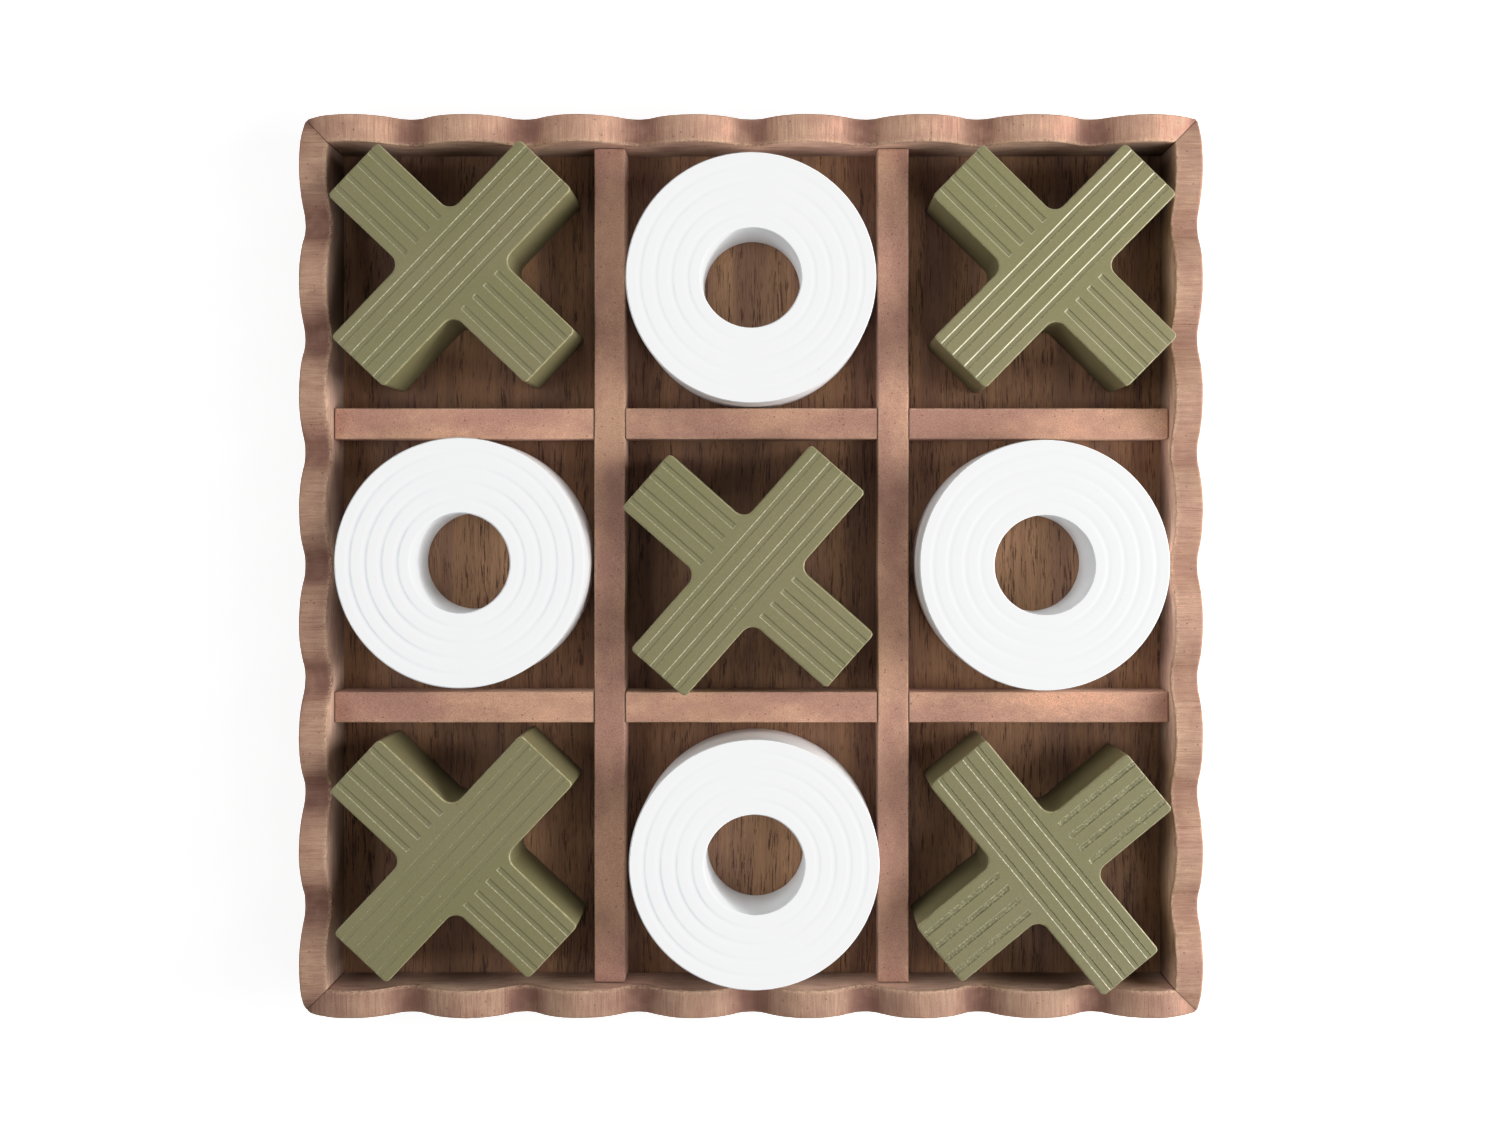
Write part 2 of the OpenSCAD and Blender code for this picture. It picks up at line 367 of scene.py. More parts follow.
# ---- materials --------------------------------------------------------------
# Each reads "lc", a place along, across and up the piece in millimetres, and masks of 0 to 1.
def stained_wood(name, seed, tan, mauve, dark, strip=False):
    mat = MaterialGraph(name, seed)
    place = mat.attribute("lc", "Vector")
    masks = ("topm", "valley", "edge", "seam", "tone")
    top, valley, edge, seam, tone = [mat.attribute(mask) for mask in masks]
    warped = mat.warp(place, scale=0.16, amount=0.5)
    # cloudy stain: tan to mauve
    if strip:
        cloud_scale, share, span = (0.019, 0.05, 0.05), 0.8, (0.36, 0.62)
    else:
        cloud_scale, share, span = (0.055, 0.085, 0.085), 0.66, (0.3, 0.78)
    cloud = mat.noise(warped, scale=cloud_scale, seed=3)
    small_cloud = mat.noise(warped, scale=(0.17, 0.2, 0.2), seed=11)
    both = mat.weighted(cloud, small_cloud, weights=(share, 1 - share))
    color = mat.mix(mat.ramp(both, span=span), tan, mauve)
    # end-grain lines across the sawn top, long grain down the faces
    if strip:
        lines = mat.noise(warped, scale=(0.42, 0.8, 0.8), detail=3, rough=0.6, seed=5)
        fine = mat.noise(place, scale=(2.6, 3.2, 3.2), detail=3, rough=0.75, seed=7)
        line_contrast, fine_contrast, pale_amount = 0.11, 0.78, 0.12
    else:
        across = mat.noise(warped, scale=(0.95, 0.045, 0.045), detail=3, rough=0.65, seed=5)
        along = mat.noise(warped, scale=(0.045, 0.9, 0.9), detail=3, rough=0.6, seed=6)
        lines = mat.fade(top, along, across)
        end_grain = mat.noise(place, scale=(2.7, 0.14, 0.14), rough=0.6, seed=7)
        grit = mat.noise(place, scale=2.8, detail=3, rough=0.7, seed=9)
        end_grain = mat.weighted(end_grain, grit, weights=(0.55, 0.45))
        long_grain = mat.noise(place, scale=(0.11, 2.3, 2.3), detail=3, rough=0.65, seed=8)
        fine = mat.fade(top, long_grain, end_grain)
        line_contrast, fine_contrast, pale_amount = 0.28, 0.62, 0.25
    line_half, fine_half = line_contrast / 2, fine_contrast / 2
    shade = mat.plus(
        mat.linear(lines, span=(0.3, 0.7), to=(1 - line_half, 1 + line_half)),
        mat.linear(fine, span=(0.3, 0.7), to=(-fine_half, fine_half)),
    )
    shade_color = mat.combine(mat.power(shade, 0.8), shade, mat.power(shade, 1.05))
    color = mat.multiply(color, shade_color)
    # painted light and shade: tone lightens or darkens each board, face and strip for the light
    # it gets
    color = mat.multiply(color, mat.combine(tone, tone, tone))
    # the inner faces took the stain lighter than the sawn top
    inner = mat.times(mat.fade(top, low=1.0, high=0.0), mat.attribute("inner"))
    color = mat.mix(inner, color, mat.multiply(color, by=(1.32, 1.44, 1.58)))
    # burnt, reddish streaks across the top
    if not strip:
        streak = mat.noise(warped, scale=(1.3, 0.03, 0.03), detail=3, rough=0.65, seed=21)
        patch = mat.noise(place, scale=(0.09, 0.05, 0.05), seed=23)
        streak = mat.times(
            mat.ramp(streak, span=(0.53, 0.66)), mat.ramp(patch, span=(0.42, 0.6), to=(0.25, 1.0))
        )
        burnt = mat.multiply(color, by=(0.66, 0.52, 0.47))
        color = mat.mix(mat.times(streak, mat.times(top, 0.6)), color, burnt)
    # darker and redder in the dips
    damp = mat.multiply(color, by=(0.88, 0.8, 0.8))
    color = mat.overlay(color, damp, where=mat.ramp(valley, span=(0.3, 0.62)), amount=0.45)
    cloudy = mat.ramp(small_cloud, span=(0.2, 0.6), to=(0.6, 1.0))
    dip = mat.times(mat.ramp(valley, span=(0.4, 1.0)), cloudy)
    color = mat.overlay(color, dark, where=dip, amount=0.74)
    # pores, pits and pale specks
    pore = mat.noise(place, scale=2.1, rough=0.6, seed=31)
    pore = mat.ramp(pore, span=(0.65, 0.72))
    color = mat.overlay(color, dark, where=pore, amount=0.6)
    pit = mat.cells(place, scale=0.33, seed=33)
    color = mat.overlay(color, dark, where=mat.ramp(pit, span=(0.14, 0.07)), amount=0.65)
    pale = mat.noise(place, scale=1.3, detail=3, rough=0.7, seed=37)
    pale = mat.ramp(pale, span=(0.62, 0.78))
    color = mat.overlay(color, srgb(222, 190, 162), where=pale, amount=pale_amount)
    # rubbed edges, broken up and nicked
    ragged = mat.noise(place, scale=(0.75, 1.6, 1.6), detail=4, rough=0.72, seed=41)
    worn = mat.times(edge, mat.ramp(ragged, span=(0.4, 0.62)))
    color = mat.overlay(color, srgb(214, 184, 152), where=worn, amount=0.6)
    nick = mat.noise(place, scale=1.9, rough=0.6, seed=47)
    nick = mat.times(mat.ramp(nick, span=(0.6, 0.7)), edge)
    color = mat.overlay(color, srgb(92, 72, 58), where=nick, amount=0.8)
    color = mat.mix(seam, color, srgb(62, 46, 38))
    height = mat.weighted(lines, fine, weights=(0.75, 0.45))
    height = mat.math("SUBTRACT", height, mat.times(pore, 0.35))
    return mat.finish(
        Base_Color=color,
        Roughness=mat.linear(mat.plus(lines, fine), span=(0.7, 1.3), to=(0.58, 0.78)),
        Normal=mat.bump(height, distance=0.00007, strength=0.8),
        Specular_IOR_Level=0.28,
    )


def veneer(name):
    """Dark open-pored veneer, grain along Y."""
    mat = MaterialGraph(name)
    place = mat.attribute("lc", "Vector")
    warped = mat.warp(place, scale=0.02, amount=1.6, seed=2.0)
    warped = mat.warp(warped, scale=0.12, amount=0.22, seed=9.0)
    wide = mat.noise(warped, scale=(0.1, 0.004, 0.3), detail=3, rough=0.55, seed=5.0)
    color = mat.mix(mat.ramp(wide, span=(0.4, 0.62)), srgb(178, 135, 100), srgb(155, 116, 92))
    band = mat.noise(warped, scale=(0.75, 0.01, 0.5), detail=4, rough=0.65, seed=1.0)
    fibre = mat.noise(warped, scale=(2.6, 0.045, 1.0), detail=3, rough=0.7, seed=3.0)
    tone = mat.plus(
        mat.linear(band, span=(0.3, 0.7), to=(0.84, 1.14)),
        mat.linear(fibre, span=(0.3, 0.7), to=(-0.17, 0.17)),
    )
    # slightly stronger contrast towards blue
    color = mat.multiply(color, mat.combine(*(mat.power(tone, p) for p in (0.9, 1.0, 1.08))))
    # painted shade on the floor round the pieces: the floor's share of each channel where it is
    # darkest
    dim = mat.attribute("dim")
    shade = mat.combine(*(mat.fade(dim, low=1.0, high=p) for p in (0.29, 0.23, 0.185)))
    color = mat.multiply(color, shade)
    # pores: short, beaded dark dashes in clusters
    dash = mat.noise(warped, scale=(2.2, 0.13, 1.0), rough=0.55, seed=13.0)
    cluster = mat.noise(warped, scale=(0.42, 0.022, 0.6), seed=17.0)
    bead = mat.noise(place, scale=(2.4, 1.1, 1.0), seed=23.0)
    dash, cluster = mat.ramp(dash, span=(0.53, 0.6)), mat.ramp(cluster, span=(0.45, 0.57))
    pores = mat.times(dash, cluster)
    pores = mat.times(pores, mat.ramp(bead, span=(0.3, 0.48), to=(0.35, 1.0)))
    pore_color = mat.multiply(srgb(80, 50, 40), shade)
    color = mat.overlay(color, pore_color, where=pores, amount=0.85)
    fine = mat.noise(warped, scale=(3.1, 0.2, 1.0), detail=1, seed=19.0)
    color = mat.overlay(color, pore_color, where=mat.ramp(fine, span=(0.6, 0.7)), amount=0.5)
    # pale fibres
    pale = mat.noise(warped, scale=(2.2, 0.09, 1.0), rough=0.6, seed=29.0)
    light = mat.multiply(srgb(184, 146, 112), shade)
    color = mat.overlay(color, light, where=mat.ramp(pale, span=(0.64, 0.76)), amount=0.25)
    height = mat.math("SUBTRACT", mat.times(fibre, 0.5), pores)
    return mat.finish(
        Base_Color=color,
        Roughness=mat.linear(band, span=(0.3, 0.7), to=(0.5, 0.62)),
        Normal=mat.bump(height, distance=0.00012, strength=0.9),
        Specular_IOR_Level=0.3,
    )


def olive_paint(name, seed):
    """Satin olive paint over wood, rubbed through along its edges."""
    mat = MaterialGraph(name, seed)
    place = mat.attribute("lc", "Vector")
    masks = ("edge", "rub_and_glint", "deep", "chip", "low", "glint")
    edge, rub_and_glint, deep, chip, low, glint = [mat.attribute(mask) for mask in masks]
    cloud = mat.noise(place, scale=0.032)
    color = mat.mix(mat.ramp(cloud, span=(0.35, 0.65)), srgb(130, 126, 89), srgb(133, 127, 92))
    grain = mat.noise(place, scale=1.9, detail=3, rough=0.65, seed=3)
    tone = mat.linear(grain, span=(0.3, 0.7), to=(0.92, 1.08))
    # painted shade: darker down the sides towards the foot
    tone = mat.times(tone, mat.fade(mat.power(low, 1.5), low=1.0, high=0.38))
    tone = mat.times(tone, mat.attribute("coat"))
    color = mat.multiply(color, mat.combine(tone, tone, tone))
    # painted shade: the grooves are painted a little greyer
    color = mat.overlay(color, srgb(116, 116, 92), where=deep, amount=0.22)
    # scuffs, then pale dots, dark dots and smudges
    scuff = mat.noise(place, scale=(0.11, 0.5, 0.3), detail=4, rough=0.7, seed=9)
    scuff = mat.ramp(scuff, span=(0.64, 0.76))
    color = mat.overlay(color, srgb(160, 156, 122), where=scuff, amount=0.12)
    for scale, spot_seed, span, amount, spot_color in (
        (0.16, 15, (0.05, 0.025), 0.7, srgb(190, 182, 140)),
        (0.09, 25, (0.04, 0.015), 0.5, srgb(84, 82, 58)),
        (0.028, 61, (0.07, 0.02), 0.3, srgb(96, 94, 66)),
    ):
        spot = mat.ramp(mat.cells(place, scale=scale, seed=spot_seed), span=span)
        color = mat.overlay(color, spot_color, where=spot, amount=amount)
    # rubbed edges
    run = mat.noise(place, scale=0.35, detail=3, rough=0.6, seed=31)
    bite = mat.noise(place, scale=1.6, detail=3, rough=0.7, seed=33)
    worn = mat.times(
        mat.ramp(run, span=(0.3, 0.6), to=(0.35, 1.0)),
        mat.ramp(bite, span=(0.35, 0.6), to=(0.2, 1.0)),
    )
    rub = mat.times(mat.ramp(edge, span=(0.35, 0.95)), worn)
    color = mat.overlay(color, srgb(196, 188, 146), where=rub, amount=0.78)
    # rubbed arrises of the grooves with a painted highlight on their lit side, broken into beads
    # except where the glint is strong
    bead = mat.noise(place, scale=1.25, rough=0.6, seed=35)
    beads = mat.ramp(bead, span=(0.42, 0.6), to=(0.15, 1.0))
    line = mat.times(mat.ramp(rub_and_glint, span=(0.3, 0.95)), mat.fade(glint, low=beads, high=1.0))
    color = mat.overlay(color, srgb(214, 211, 180), where=line, amount=0.85)
    # painted glint: the lines turn whiter where the glint is strong
    color = mat.overlay(color, srgb(222, 220, 200), where=mat.times(line, glint), amount=0.5)
    # chips along torn grooves
    fleck = mat.noise(place, scale=1.5, rough=0.6, seed=51)
    torn = mat.times(chip, mat.ramp(fleck, span=(0.56, 0.4)))
    color = mat.overlay(color, srgb(84, 82, 58), where=torn, amount=0.42)
    pale = mat.times(chip, mat.ramp(rub_and_glint, span=(0.0, 0.3), to=(0.4, 1.0)))
    pale = mat.times(pale, mat.ramp(fleck, span=(0.55, 0.63)))
    color = mat.overlay(color, srgb(206, 200, 162), where=pale, amount=0.65)
    peel = mat.noise(place, scale=0.9, seed=41)
    height = mat.weighted(peel, grain, weights=(0.6, 0.35))
    height = mat.plus(height, mat.times(mat.times(chip, fleck), 1.2))
    rough = mat.linear(cloud, span=(0.35, 0.65), to=(0.4, 0.46))
    return mat.finish(
        Base_Color=color,
        Roughness=mat.fade(mat.times(rub_and_glint, 0.6), low=rough, high=0.3),
        Normal=mat.bump(height, distance=0.00006, strength=0.8),
        Specular_IOR_Level=0.42,
    )


def white_paint(name, seed):
    """Matt white paint."""
    mat = MaterialGraph(name, seed)
    place = mat.attribute("lc", "Vector")
    edge, deep = mat.attribute("edge"), mat.attribute("deep")
    cloud = mat.noise(place, scale=0.045, detail=3, rough=0.55)
    cloud = mat.ramp(cloud, span=(0.35, 0.65))
    color = mat.mix(cloud, (0.915, 0.93, 0.94), (0.9, 0.917, 0.93))
    grain = mat.noise(place, scale=1.6, detail=3, rough=0.6, seed=3)
    grey = mat.linear(grain, span=(0.35, 0.75), to=(0.0, 0.2))
    color = mat.mix(grey, color, (0.84, 0.86, 0.88))
    # painted shade in the grooves, most of all at their very bottoms
    groove_shade = mat.weighted(deep, mat.power(deep, 4.0), weights=(0.1, 0.12))
    color = mat.mix(groove_shade, color, (0.78, 0.8, 0.84))
    dot = mat.ramp(mat.cells(place, scale=0.07, seed=15), span=(0.035, 0.012))
    color = mat.overlay(color, (0.52, 0.5, 0.45), where=dot, amount=0.6)
    bite = mat.noise(place, scale=0.8, detail=3, rough=0.7, seed=23)
    rub = mat.times(edge, mat.ramp(bite, span=(0.52, 0.7)))
    color = mat.overlay(color, (0.7, 0.69, 0.64), where=rub, amount=0.35)
    brush = mat.noise(place, scale=0.5, detail=4, rough=0.6, seed=31)
    height = mat.weighted(brush, grain, weights=(0.6, 0.4))
    return mat.finish(
        Base_Color=color,
        Roughness=mat.linear(brush, span=(0.3, 0.7), to=(0.56, 0.66)),
        Normal=mat.bump(height, distance=0.00007, strength=0.7),
        Specular_IOR_Level=0.32,
    )


def brad_metal(name):
    """Tarnished steel."""
    mat = MaterialGraph(name)
    place = mat.attribute("lc", "Vector")
    tarnish = mat.noise(place, scale=0.9, detail=4, rough=0.65, seed=3.0)
    color = mat.mix(mat.ramp(tarnish, span=(0.4, 0.65)), (0.42, 0.4, 0.38), (0.2, 0.13, 0.09))
    scratch = mat.noise(place, scale=(6.0, 0.8, 0.8), rough=0.6, seed=7.0)
    return mat.finish(
        Base_Color=color,
        Roughness=mat.linear(tarnish, span=(0.35, 0.7), to=(0.36, 0.68)),
        Normal=mat.bump(scratch, distance=0.00004, strength=0.6),
        Metallic=0.8,
    )


RIM_TINT, STRIP_TINT = (0.816, 0.79, 0.778), (0.93, 0.9, 0.85)
WALL_WOOD = stained_wood(
    "rim_stain",
    seed=3.0,
    tan=tinted(srgb(206, 168, 142), RIM_TINT),
    mauve=tinted(srgb(180, 138, 120), RIM_TINT),
    dark=tinted(srgb(118, 82, 72), (0.95, 0.87, 0.86)),
)
STRIP_WOOD = stained_wood(
    "strip_stain",
    seed=60.0,
    tan=tinted(srgb(212, 168, 143), STRIP_TINT),
    mauve=tinted(srgb(182, 138, 124), STRIP_TINT),
    dark=srgb(116, 82, 72),
    strip=True,
)
FLOOR_VENEER = veneer("floor_veneer")
BRAD_STEEL = brad_metal("brad_steel_worn")


# ---- brads and their holes --------------------------------------------------
HEAD_R, SHANK_R = 1.0, 0.6
CORNER_LENGTH, BASE_LENGTH = 22.0, 16.0
SINK = 0.28  # of the heads below the surface
_, CORNER_HIGH = box_mm("corner_brads")
CORNER_LOW, _ = box_mm("corner_brads")
_, BASE_HIGH = box_mm("base_brads")
# side it enters from (-1 or 1 along X), x, y, z
CORNER_BRADS = [
    (side_x, side_x * CORNER_HIGH[0], side_y * (CORNER_HIGH[1] - HEAD_R), z)
    for side_x in (-1, 1)
    for side_y in (-1, 1)
    for z in (CORNER_LOW[2] + HEAD_R, CORNER_HIGH[2] - HEAD_R)
]
BASE_LINE = BASE_HIGH[0] - HEAD_R
BASE_BRADS = [
    spot
    for along in (-96.0, 0.0, 96.0)
    for spot in (
        (along, BASE_LINE), (along, -BASE_LINE), (BASE_LINE, along), (-BASE_LINE, along)
    )
]


def bore(length):
    """Stepped hole for a brad, opening at z = 0 and going up."""
    head, shank, step, depth = HEAD_R + 0.06, SHANK_R + 0.04, 0.86, length + 0.3
    profile = [(0, -1.0), (head, -1.0), (head, step), (shank, step), (shank, depth), (0, depth)]
    return lathe(profile, segments=24)


def at_corners(solid):
    """The solid laid along X at each corner brad, its z = 0 end outermost."""
    verts, faces = solid
    across, over, length = verts.T
    return [
        (np.stack([x - side * length, y + over, z + across], -1), faces)
        for side, x, y, z in CORNER_BRADS
    ]


def under_base(solid):
    verts, faces = solid
    return [(verts + [x, y, 0], faces) for x, y in BASE_BRADS]


# ---- side boards ------------------------------------------------------------
SCALLOPS = 8
CORNER_CUT = 2.0  # the scallops are laid out over this much more at each end
HALF_PITCH = (2 * TRAY_HALF + 2 * CORNER_CUT) / SCALLOPS / 2
DIP = 7.2
# each half scallop is a convex arc and a concave one that meet on a common tangent
ARC_TURN = 2 * math.atan(DIP / HALF_PITCH)
DIP_RUN = HALF_PITCH * 0.25
CREST_RUN = HALF_PITCH - DIP_RUN
CREST_R, DIP_R = CREST_RUN / math.sin(ARC_TURN), DIP_RUN / math.sin(ARC_TURN)


def scallop(x):
    pitch = 2 * HALF_PITCH
    count = x / pitch + 0.5
    off = np.abs((count - np.round(count)) * pitch)
    crest = RIM - CREST_R + np.sqrt(np.maximum(CREST_R * CREST_R - off * off, 0))
    dip = RIM - DIP + DIP_R - np.sqrt(np.maximum(DIP_R * DIP_R - (HALF_PITCH - off) ** 2, 0))
    return np.where(off <= CREST_RUN, crest, dip)


def rim_height(x, seed):
    """Top of a side board at x along it, with the unevenness of hand shaping."""
    inside_ends = 1 - smooth(TRAY_HALF - 16, TRAY_HALF - 3, np.abs(x))
    wobble = 0.16 * noise(x / 17, 0, 0, seed) + 0.07 * noise(x / 6.1, 3, 0, seed)
    return scallop(x) - 0.12 + inside_ends * wobble


def board_section(outer_r, inner_r):
    """Closed section of a side board, from the bottom of its outside face over the top.

    Columns: depth from the outside face, lower z, share of the way from there to the top,
    drop from the top, how the surface draws back at the mitre (inwards, up), and the share
    of the sawn top's unevenness.
    """
    rows = [
        (0.5, 0.0, 0, 0, (0, 1), 0),
        (0.15, 0.15, 0, 0, (1, 1), 0),
        (0.0, 0.5, 0, 0, (1, 0), 0),
    ]
    rows += [(0.0, 0.5, k / 9, outer_r, (1, 0), 0) for k in range(1, 10)]
    for k in range(1, 5):
        angle = math.radians(90 * k / 5)
        cos, sin = math.cos(angle), math.sin(angle)
        rows.append((outer_r * (1 - cos), 0, 1, outer_r * (1 - sin), (cos, -sin), k / 5))
    span = WALL - outer_r - inner_r
    for share in (0.0, 0.06, 0.16, 0.28, 0.4, 0.52, 0.64, 0.76, 0.86, 0.94, 1.0):
        rows.append((outer_r + span * share, 0, 1, 0.0, (0, -1), 1.0))
    for k in range(1, 6):
        angle = math.radians(90 * k / 5)
        cos, sin = math.cos(angle), math.sin(angle)
        depth = WALL - inner_r + inner_r * sin
        rows.append((depth, 0, 1, inner_r * (1 - cos), (-sin, -cos), 1 - k / 5))
    # inside face, down to the floor
    rows += [(WALL, FLOOR, k / 9, inner_r, (-1, 0), 0) for k in range(8, -1, -1)]
    # rebate and underside
    rebate = TRAY_HALF - REBATE
    for depth, z in (
        (WALL - 2.5, FLOOR), (rebate, FLOOR), (rebate, FLOOR * 0.5),
        (rebate, 0.35), (rebate - 0.35, 0.0), (rebate - 2.0, 0.0),
    ):
        rows.append((depth, z, 0, 0, (0, 0), 0))
    return rows


def board_mesh(seed, corners):
    """Vertices and faces of a side board as it lies at the rear."""
    from_end = np.array([0.0, 0.1, 0.24, 0.42, 0.66, 0.95, 1.25, 1.55])
    middle = np.linspace(0, TRAY_HALF - 1.85, int((TRAY_HALF - 1.85) / 0.27))
    half = np.concatenate([middle, (TRAY_HALF - from_end)[::-1]])
    stations = np.concatenate([-half[:0:-1], half])
    reach, side = np.abs(stations), np.sign(stations)
    end = TRAY_HALF - reach
    outer_r = 0.8 + 0.22 * noise(stations / 5.0, 1, 0, seed)
    outer_r = outer_r + 0.1 * noise(stations / 1.3, 2, 0, seed)
    nicks = np.maximum(noise(stations / 2.6, 7, 0, seed) - 0.35, 0)
    inner_r = 0.5 + 0.16 * noise(stations / 3.0, 3, 0, seed)
    inner_r = inner_r + 0.08 * noise(stations / 0.8, 4, 0, seed) + 0.7 * nicks
    rows = board_section(outer_r, inner_r)
    # stations beyond this spread out to follow the mitre and the rounded corner
    fan = TRAY_HALF - 24.0
    opening = 0.13 * np.exp(-((end / 0.22) ** 2))
    quiet = smooth(1.5, 9.0, end)
    end_r = np.where(stations < 0, corners[0], corners[1])
    verts = np.zeros((len(stations), len(rows), 3))
    for i, (depth, low_z, share, drop, pull, top) in enumerate(rows):
        r = np.maximum(end_r - depth, 0)
        face_y = TRAY_HALF - depth
        length = face_y - r + r * math.pi / 4
        spread = fan + (reach - fan) * (length - fan) / (TRAY_HALF - fan)
        run = np.where(reach <= fan, reach, spread)
        past = np.maximum(run - (face_y - r), 0)
        angle = np.where(r > 1e-6, past / np.maximum(r, 1e-6), 0)
        x = np.where(past > 0, face_y - r + r * np.sin(angle), run) * side
        y = np.where(past > 0, face_y - r + r * np.cos(angle), face_y)
        z = low_z * (1 - share) + share * (rim_height(x, seed) - drop)
        if top > 0:
            saw = 0.030 * noise(x * 1.05, depth * 0.10, 0, seed + 1)
            saw = saw + 0.016 * noise(x * 2.3, depth * 0.35, 5, seed + 2)
            wave = 0.05 * noise(x / 4.5, depth / 6.0, 9, seed + 3)
            z = z + (saw + wave) * quiet * top
        if pull == (1, 0):
            y = y - 0.05 + 0.05 * quiet * noise(x / 11, z / 7, 0, seed + 4) * (z > 1)
        if pull == (-1, 0):
            y = y + 0.045 * quiet * noise(x / 9, z / 5, 0, seed + 5)
        y = y - pull[0] * opening
        z = z + min(pull[1], 0) * opening
        x = x - side * 0.025 * np.exp(-((end / 0.15) ** 2))
        verts[:, i] = np.stack([x, y, z], -1)
    return verts.reshape(-1, 3), bar_faces(len(stations), len(rows))


def side_board(name, node, turn, seed, corners, painted_light_tones, gather=1.0, dim=(0, 0, 1), foot_shade=(1.05, 1)):
    """A mitred side board, made as the rear one and turned into place.

    corners: radius of the upright corner at each end.
    painted_light_tones: how light the sawn top, the inside face and the outside face are painted,
    as painted light and shade for how the light falls on each.
    gather: how strongly the dips are darkened.
    dim: how much darker the inside face is painted as painted shade, and between which x as it
    lies at the rear.
    foot_shade: how much the inside face is painted darker downwards as painted shade, and the
    power of that.
    """
    verts, faces = board_mesh(seed, corners)
    ob = new_object(name, turned(verts, turn), faces)
    cut(ob, at_corners(bore(CORNER_LENGTH)) + under_base(bore(BASE_LENGTH)))
    place = turned(coords(ob), -turn)
    x, y, z = place.T
    depth = TRAY_HALF - y
    height = rim_height(x, seed)
    below = height - z
    from_inside = np.hypot(np.minimum(depth - WALL, 0), np.maximum(below, 0))
    from_outside = np.hypot(np.maximum(depth, 0), np.maximum(below, 0))
    outer_edge = 0.4 * (1 - smooth(0.3, 1.1, from_outside))
    edge = np.maximum(1 - smooth(0.5, 1.5, from_inside), outer_edge)
    top = (1 - smooth(0.25, 0.9, below)) * (z > FLOOR + 3)
    mitre = (y - np.abs(x)) / math.sqrt(2)
    seam = 0.6 * (1 - smooth(0.04, 0.24, mitre)) * (0.75 + 0.25 * noise(x / 2.1, 0, 0, seed + 8))
    foot = np.clip((height - z - 1.0) / (RIM - FLOOR), 0, 1)
    top_painted_light, inside_painted_light, outside_painted_light = painted_light_tones
    # painted shade on the inside face: darker towards the floor, and darker beyond a given x
    inside_painted_light = inside_painted_light * (1.3 - foot_shade[0] * foot ** foot_shade[1])
    inside_painted_light = inside_painted_light * (1 - dim[0] * smooth(dim[1], dim[2], x))
    inner = (depth > WALL - 1.5).astype(float)
    face_painted_light = np.where(inner > 0, inside_painted_light, outside_painted_light)
    attributes = {
        "lc": np.stack([x + 400 * seed, y, z], -1),
        "topm": top,
        "tone": top_painted_light * top + face_painted_light * (1 - top),
        "inner": inner,
        "valley": (RIM - height) / DIP * top * gather,
        "edge": edge * (z > FLOOR + 3),
        "seam": seam * (mitre < 1) * (z > 0.05),
    }
    finish_piece(ob, WALL_WOOD, "tray", node, attributes)


side_board(
    "rear_board", "wall_rear", turn=0, seed=1, corners=(2.2, 1.4), painted_light_tones=(1.18, 1.08, 1.25),
    dim=(0.62, 106, 136),
)
side_board(
    "left_board", "wall_left", turn=90, seed=2, corners=(3.0, 2.2), painted_light_tones=(0.94, 0.9, 1.25),
    dim=(0.42, 52, 80), foot_shade=(0.95, 0.6),
)
side_board(
    "front_board", "wall_front", turn=180, seed=3, corners=(1.9, 3.0), painted_light_tones=(0.86, 0.95, 1.0)
)
side_board(
    "right_board", "wall_right", turn=270, seed=4, corners=(1.4, 1.9), painted_light_tones=(0.96, 1.1, 0.56),
    gather=0.66, dim=(0.4, -96, -130),
)


# ---- base panel -------------------------------------------------------------
# how dark the painted shade on each cell's floor gets away from its middle: rear row first, left
# to right
CELL_SHADE = ((0.76, 0.56, 0.66), (0.7, 0.7, 0.4), (0.65, 0.62, 0.65))


def panel_mesh():
    low, high = PANEL_LOW, PANEL_HIGH
    size = 148  # grid points along each side
    steps = np.linspace(-1, 1, size)
    x, y = np.meshgrid(steps * (high[0] - 0.02), steps * (high[1] - 0.02), indexing="ij")
    top_z = high[2] - 0.045 + 0.03 * noise(x / 31, y / 83, 0, 41)
    top_z = top_z + 0.012 * noise(x / 2.1, y / 37, 0, 42)
    bottom_z = low[2] + 0.03 + 0.02 * noise(x / 40, y / 70, 4, 43)
    top, bottom = (np.stack([x, y, z], -1).reshape(-1, 3) for z in (top_z, bottom_z))
    rim = (
        [i * size for i in range(size)]
        + [(size - 1) * size + j for j in range(1, size)]
        + [i * size + size - 1 for i in range(size - 2, -1, -1)]
        + [j for j in range(size - 2, 0, -1)]
    )
    verts = [top, bottom]
    faces = grid_faces(size, size)
    faces += [face[::-1] for face in grid_faces(size, size, base=size * size)]
    base = 2 * size * size
    loops = [rim]
    for z in (high[2] - 0.25, 3.1, low[2] + 0.25):
        around = top[rim].copy()
        around[:, :2] = np.clip(around[:, :2] * 1.001, -high[0], high[0])
        around[:, 2] = z
        verts.append(around)
        loops.append([base + i for i in range(len(rim))])
        base += len(rim)
    loops.append([size * size + i for i in rim])
    for upper, lower in zip(loops[:-1], loops[1:]):
        for i in range(len(rim)):
            j = (i + 1) % len(rim)
            faces.append([upper[i], upper[j], lower[j], lower[i]])
    return np.concatenate(verts), faces


